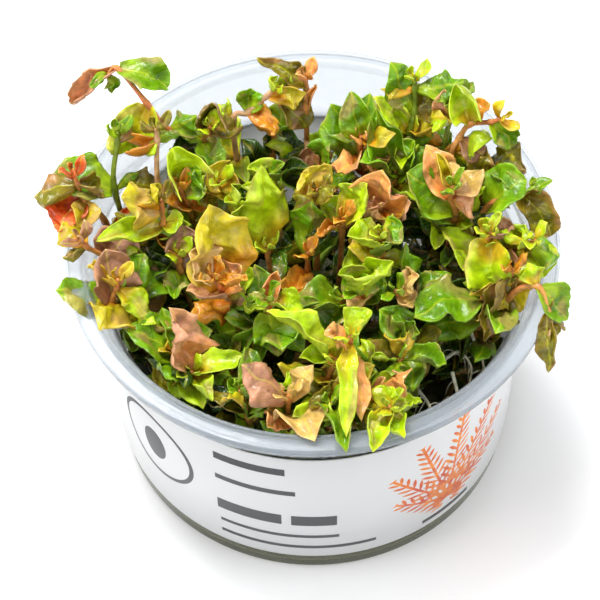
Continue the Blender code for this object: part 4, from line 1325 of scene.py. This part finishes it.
def stem_points(shoot):
    """The foot, the low joint, the joints and the bud of a stem."""
    first = shoot.joints[0].place
    foot = Vector((first.x * FOOT_DRAW_IN, first.y * FOOT_DRAW_IN, GEL_TOP - FOOT_IN_GEL))
    points = [foot, foot.lerp(first, LOW_SHARE)] + [joint.place for joint in shoot.joints]
    heading = (points[-1] - points[-2]).normalized() + UP * BUD_RISE
    heading = NODDING_TIPS.get(shoot.name, heading)
    return points + [points[-1] + heading.normalized() * (JOINT_HALF + BUD_LENGTH)]


def add_stem(shape, layers, path, top):
    """Adds a shoot's stem along its path, with its colour at the top."""
    last = len(path) - 1

    def radius_at(n):
        taper = STEM_RADIUS + (STEM_TIP_RADIUS - STEM_RADIUS) * (n / last) ** 2
        near = abs((n + STEPS_A_STRETCH / 2) % STEPS_A_STRETCH - STEPS_A_STRETCH / 2)
        swell = JOINT_SWELL * max(0, 1 - near / 2)
        return STEM_END_RADIUS if n == last else taper + swell

    def tone_at(n, angle):
        tone = STEM_LOW.lerp(top, smooth_step(*REDDENS, path[n].z))
        return tone.lerp(STEM_GREEN, GREEN_SHARE + GREEN_SHARE * math.cos(angle + n * GREEN_WINDS))

    add_tube(shape, layers, path, radius_at, tone_at, STEM_SIDES)


print("a stem has", STEM_SIDES, "sides")

# %% [markdown]
# Below and between the leaves that were read, a stem carries many more. Placing them by
# hand would take days and they mostly show as a mass, so they follow the plant's own rule:
# opposite pairs every few millimetres, each pair turned a quarter from the last. The low
# ones are dark, as older leaves and as painted shade deep in the tangle, the high ones
# bright and young. Each shoot has its own seed, so the result is the same every time.

# %% Where leaves grow by rule
PAIR_SPACING = 3.9
LOWEST_PAIR = 24.0
HIGHEST_PAIR = 57.0
HIGHEST_LEAFY_PAIR = 72.0
HIGHEST_OPEN_PAIR = 44.0
# Shoots that arch out of the tuft and show their stems
BARE_SHOOTS = ("arch_left", "orange_back", "orange_right", "olive_arch", "left_mast")
# Shoots that stand up out of the tuft with leaves all the way
LEAFY_SHOOTS = ("right_crown", "right_back", "big_back", "tall_back", "olive_fan")
# Shoots in the open middle, which are bare below their crowns, so that dark gaps show
OPEN_SHOOTS = ("salmon_mid", "cup_mid", "ring_mid", "olive_mid", "lime_mid", "mid_yellow",
               "mid_green", "curl_mid", "banner", "hero", "curl_back")
HIGHEST_PAIRS = dict.fromkeys(LEAFY_SHOOTS, HIGHEST_LEAFY_PAIR)
HIGHEST_PAIRS.update(dict.fromkeys(OPEN_SHOOTS, HIGHEST_OPEN_PAIR))
JOINT_CLEAR = 1.6
WALL_CLEAR = 1.2
OUTER_LIMIT = 50.5
# A leaf's base lies a little inside its stem.
LEAF_BASE = STEM_RADIUS - 0.2
# The tones to choose from by height, one letter for each chance. The dark tones low down
# are painted shade deep in the tangle as well as older leaves.
SHADED_BELOW = 43.0
BRIGHT_ABOVE = 53.0
SHADED_LOW_TONES = "DDDGB"
HALF_SHADED_TONES = "DGGGLB"
HIGH_TONES = "GGLLY"
HIGH_TONES_SHARE = 0.6


def inside_cup(point):
    """The point, drawn in where it would pass the cup's wall or stand out past the rim."""
    limit = wall_radius(point.z) - WALL - WALL_CLEAR if point.z < CUP_HEIGHT else OUTER_LIMIT
    flat = Vector((point.x, point.y, 0))
    if flat.length > limit:
        flat *= limit / flat.length
    return flat + UP * point.z


def filler_tone(height, own, chance):
    """A tone by rule: dark low down, as painted shade and older leaves, and the shoot's own or green
    and lime high up.
    """
    if height < SHADED_BELOW:
        return chance.choice(SHADED_LOW_TONES)
    if height < BRIGHT_ABOVE:
        return chance.choice(HALF_SHADED_TONES)
    return chance.choice(HIGH_TONES) if chance.random() < HIGH_TONES_SHARE else own


print("a pair every", PAIR_SPACING, "mm")

# %% The leaves by rule
# Widths here are shares of a leaf's length, and side turns are in radians. A filler's rise
# is how far it climbs along its stem for each millimetre out. A partner, which grows
# opposite a read leaf, rises by so many millimetres while it goes as far out as that leaf.
SIDE_TURNS = (-0.3, 0.3)
FILLER_LENGTHS = (8.0, 13.0)
FILLER_WIDTHS = (0.5, 0.64)
FILLER_RISES = (0.1, 0.9)
FILLER_LIFTS = (10, 45)
FILLER_DROOPS = (10, 60)
FILLER_ROLLS = (-25, 25)
PARTNER_RISES = (0, 4)
PARTNER_LENGTHS = (6, 9)
PARTNER_WIDTHS = (0.5, 0.65)
PARTNER_BEND = (35, 40)
# A bud's two pairs: how many steps of the path below the tip, how long and how far spread
BUD_PAIRS = ((2, 4.6, 0.9), (1, 2.6, 0.3))
BUD_WIDTH = 0.62
BUD_BASE = 0.3
BUD_BEND = (25, 35)
# A stem's last heading is measured from this many points before its end.
BUD_LOOKS_BACK = 5


def filler_leaves(path, joints, own, highest, chance):
    """Opposite pairs along a stem, as leaves with the place and the side they grow from."""
    pairs = []
    turn = chance.uniform(0, math.pi)
    since = 0.0
    for n in range(1, len(path) - 1):
        since += (path[n] - path[n - 1]).length
        clear = min((path[n] - joint.place).length for joint in joints)
        if since < PAIR_SPACING or clear < JOINT_CLEAR:
            continue
        if not LOWEST_PAIR < path[n].z < highest:
            continue
        since = 0.0
        turn += math.pi / 2 + chance.uniform(*SIDE_TURNS)
        ahead = (path[n + 1] - path[n - 1]).normalized()
        beside = ahead.orthogonal().normalized()
        for half_turn in (0, math.pi):
            out = Quaternion(ahead, turn + half_turn) @ beside
            rise = chance.uniform(*FILLER_RISES)
            length = chance.uniform(*FILLER_LENGTHS)
            tip = inside_cup(path[n] + (out + ahead * rise).normalized() * length)
            leaf = Leaf(tip, length * chance.uniform(*FILLER_WIDTHS),
                        filler_tone(path[n].z, own, chance), chance.uniform(*FILLER_LIFTS),
                        chance.uniform(*FILLER_DROOPS), chance.uniform(*FILLER_ROLLS))
            pairs.append((leaf, path[n] + out * LEAF_BASE, out))
    return pairs


def missing_leaves(shoot, own, chance):
    """A leaf opposite each read leaf that has no partner, on the shoots that aren't bare."""
    leaves = []
    for joint in shoot.joints:
        if len(joint.leaves) != 1 or shoot.name in BARE_SHOOTS:
            continue
        across = joint.leaves[0].tip - joint.place
        out = Vector((-across.x, -across.y, chance.uniform(*PARTNER_RISES))).normalized()
        length = chance.uniform(*PARTNER_LENGTHS)
        tip = inside_cup(joint.place + out * length)
        leaf = Leaf(tip, length * chance.uniform(*PARTNER_WIDTHS), own, *PARTNER_BEND)
        leaves.append((leaf, joint.place + out * LEAF_BASE, out))
    return leaves


def bud_leaves(path, own, chance):
    """The small erect leaves round a shoot's tip, which are lime on a dark shoot."""
    ahead = (path[-1] - path[-BUD_LOOKS_BACK]).normalized()
    beside = ahead.orthogonal().normalized()
    leaves = []
    own = "L" if own == "D" else own
    for pair, (back, length, spread) in enumerate(BUD_PAIRS):
        for half_turn in (0, math.pi):
            turn = pair * math.pi / 2 + half_turn + chance.uniform(*SIDE_TURNS)
            out = Quaternion(ahead, turn) @ beside
            base = path[-back] + out * BUD_BASE
            tip = base + (ahead + out * spread).normalized() * length
            leaves.append((Leaf(tip, length * BUD_WIDTH, own, *BUD_BEND), base, out))
    return leaves


print("a bud has", 2 * len(BUD_PAIRS), "leaves")

# %% [markdown]
# A leaf's blade is living tissue under a thin waxy skin, wet here, so it shines and lets
# light through. Its veins could be modelled, but on 0.2 mm of leaf they are only a tint
# and a slight groove. The colour comes from the mesh. Over it lie a paler midrib and side
# veins that leave it forwards every 1.3 mm, blotches about 2.5 mm across, and wrinkles of
# about 1.1 mm.

# %% Leaf and stem finishes
BLOTCH_DARK = 0.6
BLOTCH_LIGHT = 1.3
VEIN_COLOUR = "#DCD830"
VEIN_GROOVE = 0.9
RELIEF_HEIGHT = 0.25
RELIEF_STRENGTH = 0.7
VEIN_SPACING = 1.3
VEIN_SLANT = 0.9
VEIN_HALF = 0.16
VEIN_SHARE = 0.13
MIDRIB_HALF = 0.28
MIDRIB_CORE = 0.4
MIDRIB_SHARE = 0.25


def add_tone(tree, shader, blotch_size, wrinkle_size, veins=None):
    """Colour and relief from the mesh's tone, with blotches, wrinkles and veins."""
    place = add_node(tree, "ShaderNodeTexCoord").outputs["Object"]
    toned = add_node(tree, "ShaderNodeAttribute", attribute_name="tone")
    light = add_range(tree, add_noise(tree, place, blotch_size, 3.0), (NOISE_LOW, NOISE_HIGH),
                      (BLOTCH_DARK, BLOTCH_LIGHT))
    toned = add_node(tree, "ShaderNodeVectorMath", {0: toned, "Scale": light},
                     operation="SCALE").outputs[0]
    relief = add_noise(tree, place, wrinkle_size, 4.0)
    if veins is not None:
        toned = add_mix(tree, veins, toned, linear(VEIN_COLOUR))
        relief = add_sum(tree, "MULTIPLY_ADD", veins, -VEIN_GROOVE, relief)
    bump = add_node(tree, "ShaderNodeBump", {"Height": relief, "Strength": RELIEF_STRENGTH,
                    "Distance": RELIEF_HEIGHT * MM})
    tree.links.new(toned, shader.inputs["Base Color"])
    tree.links.new(bump.outputs["Normal"], shader.inputs["Normal"])


def vein_mask(tree):
    """A mask of a blade's midrib and side veins, by the places along and across it."""
    along = add_node(tree, "ShaderNodeAttribute", attribute_name="along").outputs["Fac"]
    across = add_node(tree, "ShaderNodeAttribute", attribute_name="across").outputs["Fac"]
    reach = add_sum(tree, "ABSOLUTE", across)
    ahead = add_sum(tree, "MULTIPLY_ADD", reach, -VEIN_SLANT, along)
    cycle = add_sum(tree, "PINGPONG", ahead, VEIN_SPACING / 2)
    side_veins = add_range(tree, cycle, (0.0, VEIN_HALF), (VEIN_SHARE, 0.0))
    core = MIDRIB_CORE * MIDRIB_HALF
    midrib = add_range(tree, reach, (core, MIDRIB_HALF), (MIDRIB_SHARE, 0.0))
    return add_sum(tree, "MAXIMUM", side_veins, midrib)


leaf_blade, leaf_tree, leaf_shader = start_material(
    "wet leaf blade",
    Roughness=0.32,
    IOR=1.36,
    Subsurface_Weight=0.3,
    Subsurface_Radius=(0.5 * MM, 0.5 * MM, 0.15 * MM),
    Subsurface_Scale=1.0,
    Coat_Weight=0.18,
    Coat_Roughness=0.07,
)
add_tone(leaf_tree, leaf_shader, 2.5, 1.1, vein_mask(leaf_tree))

# A stem is smooth and juicy.
stem_skin, stem_tree, stem_shader = start_material(
    "smooth stem skin",
    Roughness=0.35,
    IOR=1.42,
    Subsurface_Weight=0.25,
    Subsurface_Radius=(0.8 * MM, 0.4 * MM, 0.2 * MM),
    Subsurface_Scale=1.0,
)
add_tone(stem_tree, stem_shader, 1.8, 0.4)
print("veins every", VEIN_SPACING, "mm")

# %% [markdown]
# Now each shoot is grown. Stem and leaves could be objects of their own, but a shoot is
# one living thing, so they share a mesh. The blades come first and get their thickness in
# one go, and their under sides take the underside's colour. Then the stem joins them.

# %% The shoots
BLADE_THICK = 0.22
# A crumpled leaf looks narrower than it is.
CROWN_BROADER = 1.5
CROWN_WILDNESS = 0.8
BUD_WILDNESS = 0.5


def thicken(shape, layers):
    """Gives every blade its thickness and the points below it their own colour."""
    shape.normal_update()
    for vert in shape.verts:
        vert[layers.lean] = vert.normal
    under = bmesh.ops.extrude_face_region(shape, geom=shape.faces[:], use_keep_orig=True)
    for part in under["geom"]:
        if isinstance(part, bmesh.types.BMVert):
            part.co -= part[layers.lean] * BLADE_THICK
            part[layers.tone] = part[layers.back]
    bmesh.ops.recalc_face_normals(shape, faces=shape.faces[:])


def grow(shoot):
    """One shoot with its stem, its read leaves, its leaves by rule and its bud."""
    chance = random.Random(shoot.name)
    shape, layers = new_shape()
    own = next((leaf.tone for joint in shoot.joints for leaf in joint.leaves), "G")
    path = smooth_path(stem_points(shoot), STEPS_A_STRETCH)
    for joint in shoot.joints:
        for leaf in joint.leaves:
            out = (leaf.tip - joint.place).normalized()
            base = joint.place + out * LEAF_BASE
            blade = Blade(leaf, base, out, chance, CROWN_WILDNESS, CROWN_BROADER)
            add_blade(shape, layers, blade, CROWN_GRID)
    for leaf, base, out in missing_leaves(shoot, own, chance):
        add_blade(shape, layers, Blade(leaf, base, out, chance), CROWN_GRID)
    highest = HIGHEST_PAIRS.get(shoot.name, HIGHEST_PAIR)
    for leaf, base, out in filler_leaves(path, shoot.joints, own, highest, chance):
        add_blade(shape, layers, Blade(leaf, base, out, chance), FILLER_GRID)
    for leaf, base, out in bud_leaves(path, own, chance):
        add_blade(shape, layers, Blade(leaf, base, out, chance, BUD_WILDNESS), BUD_GRID)
    thicken(shape, layers)
    blades = set(shape.faces[:])
    add_stem(shape, layers, path, OTHER_TOPS.get(shoot.name, STEM_TOP))
    for face in shape.faces:
        face.material_index = 0 if face in blades else 1
    return finish_piece("leafy_" + shoot.name, shape, [leaf_blade, stem_skin],
                        "shoot_" + shoot.name)


grown = [grow(shoot) for shoot in CROWNS]
triangles = [sum(len(face.vertices) - 2 for face in piece.data.polygons) for piece in grown]
print(len(grown), "shoots,", sum(triangles), "triangles, at most", max(triangles), "in one")

# %% [markdown]
# The white roots hang inside the wall at the right front. Each could be a bare cylinder,
# but a root tapers and has hairs. So it is a tube like a stem, with a few finer tubes that
# leave it sideways and down.

# %% The roots
ROOTS = [
    [(31, -13, 50), (33, -16.5, 45), (34.5, -18.5, 41), (33, -20, 33)],
    [(26.5, -18.5, 44), (29.5, -17.5, 45), (32, -19.5, 42), (31, -22, 36)],
    [(28, -21, 43), (29, -24, 39), (28, -25, 33), (26, -25, 26)],
    [(21, -24, 41), (23, -26.5, 40), (24, -28, 36), (22.5, -29, 29)],
]
ROOT_RADIUS = 0.42
HAIR_RADIUS = 0.14
# What a root loses of its radius on its way to its end
ROOT_TAPER = 0.7
ROOT_SIDES = 8
ROOT_STEPS = 8
HAIR_STEPS = 4
HAIRS = 6
# The steps of a root's path that stay bare at each end
HAIRLESS_STEPS = 3
# The ranges of a hair's way, sideways and down. Each of its places lies so many times that
# way from its start, and then so many millimetres lower.
HAIR_SIDEWAYS = (-1, 1)
HAIR_DOWN = (-1.2, -0.2)
HAIR_PLACES = ((0, 0), (1.6, 0), (2.6, 1.2), (3, 3))
ROOT_WHITE = tone_of("#E8E6D2")
ROOT_CREAM = tone_of("#CFC79A")
root_skin, root_tree, root_shader = start_material(
    "wet white root",
    Roughness=0.3,
    IOR=1.4,
    Subsurface_Weight=0.4,
    Subsurface_Radius=(0.8 * MM, 0.8 * MM, 0.6 * MM),
    Subsurface_Scale=1.0,
)
add_tone(root_tree, root_shader, 1.5, 0.3)


def add_root(shape, layers, path, radius):
    """A tapered root along a path."""
    last = len(path) - 1
    add_tube(shape, layers, path, lambda n: radius * (1 - ROOT_TAPER * n / last),
             lambda n, angle: ROOT_WHITE.lerp(ROOT_CREAM, n / last), ROOT_SIDES)


for number, places in enumerate(ROOTS, 1):
    chance = random.Random(number)
    shape, layers = new_shape()
    path = smooth_path([Vector(place) for place in places], ROOT_STEPS)
    add_root(shape, layers, path, ROOT_RADIUS)
    for n in range(HAIRS):
        start = path[HAIRLESS_STEPS + n * (len(path) - 2 * HAIRLESS_STEPS) // HAIRS]
        way = Vector([chance.uniform(*reach) for reach in (HAIR_SIDEWAYS, HAIR_SIDEWAYS, HAIR_DOWN)])
        hair = [start + way * times - UP * sunk for times, sunk in HAIR_PLACES]
        add_root(shape, layers, smooth_path(hair, HAIR_STEPS), HAIR_RADIUS)
    finish_piece(f"fine_root_{number}", shape, [root_skin], f"root_{number}")
print(len(ROOTS), "roots with", HAIRS, "hairs each")
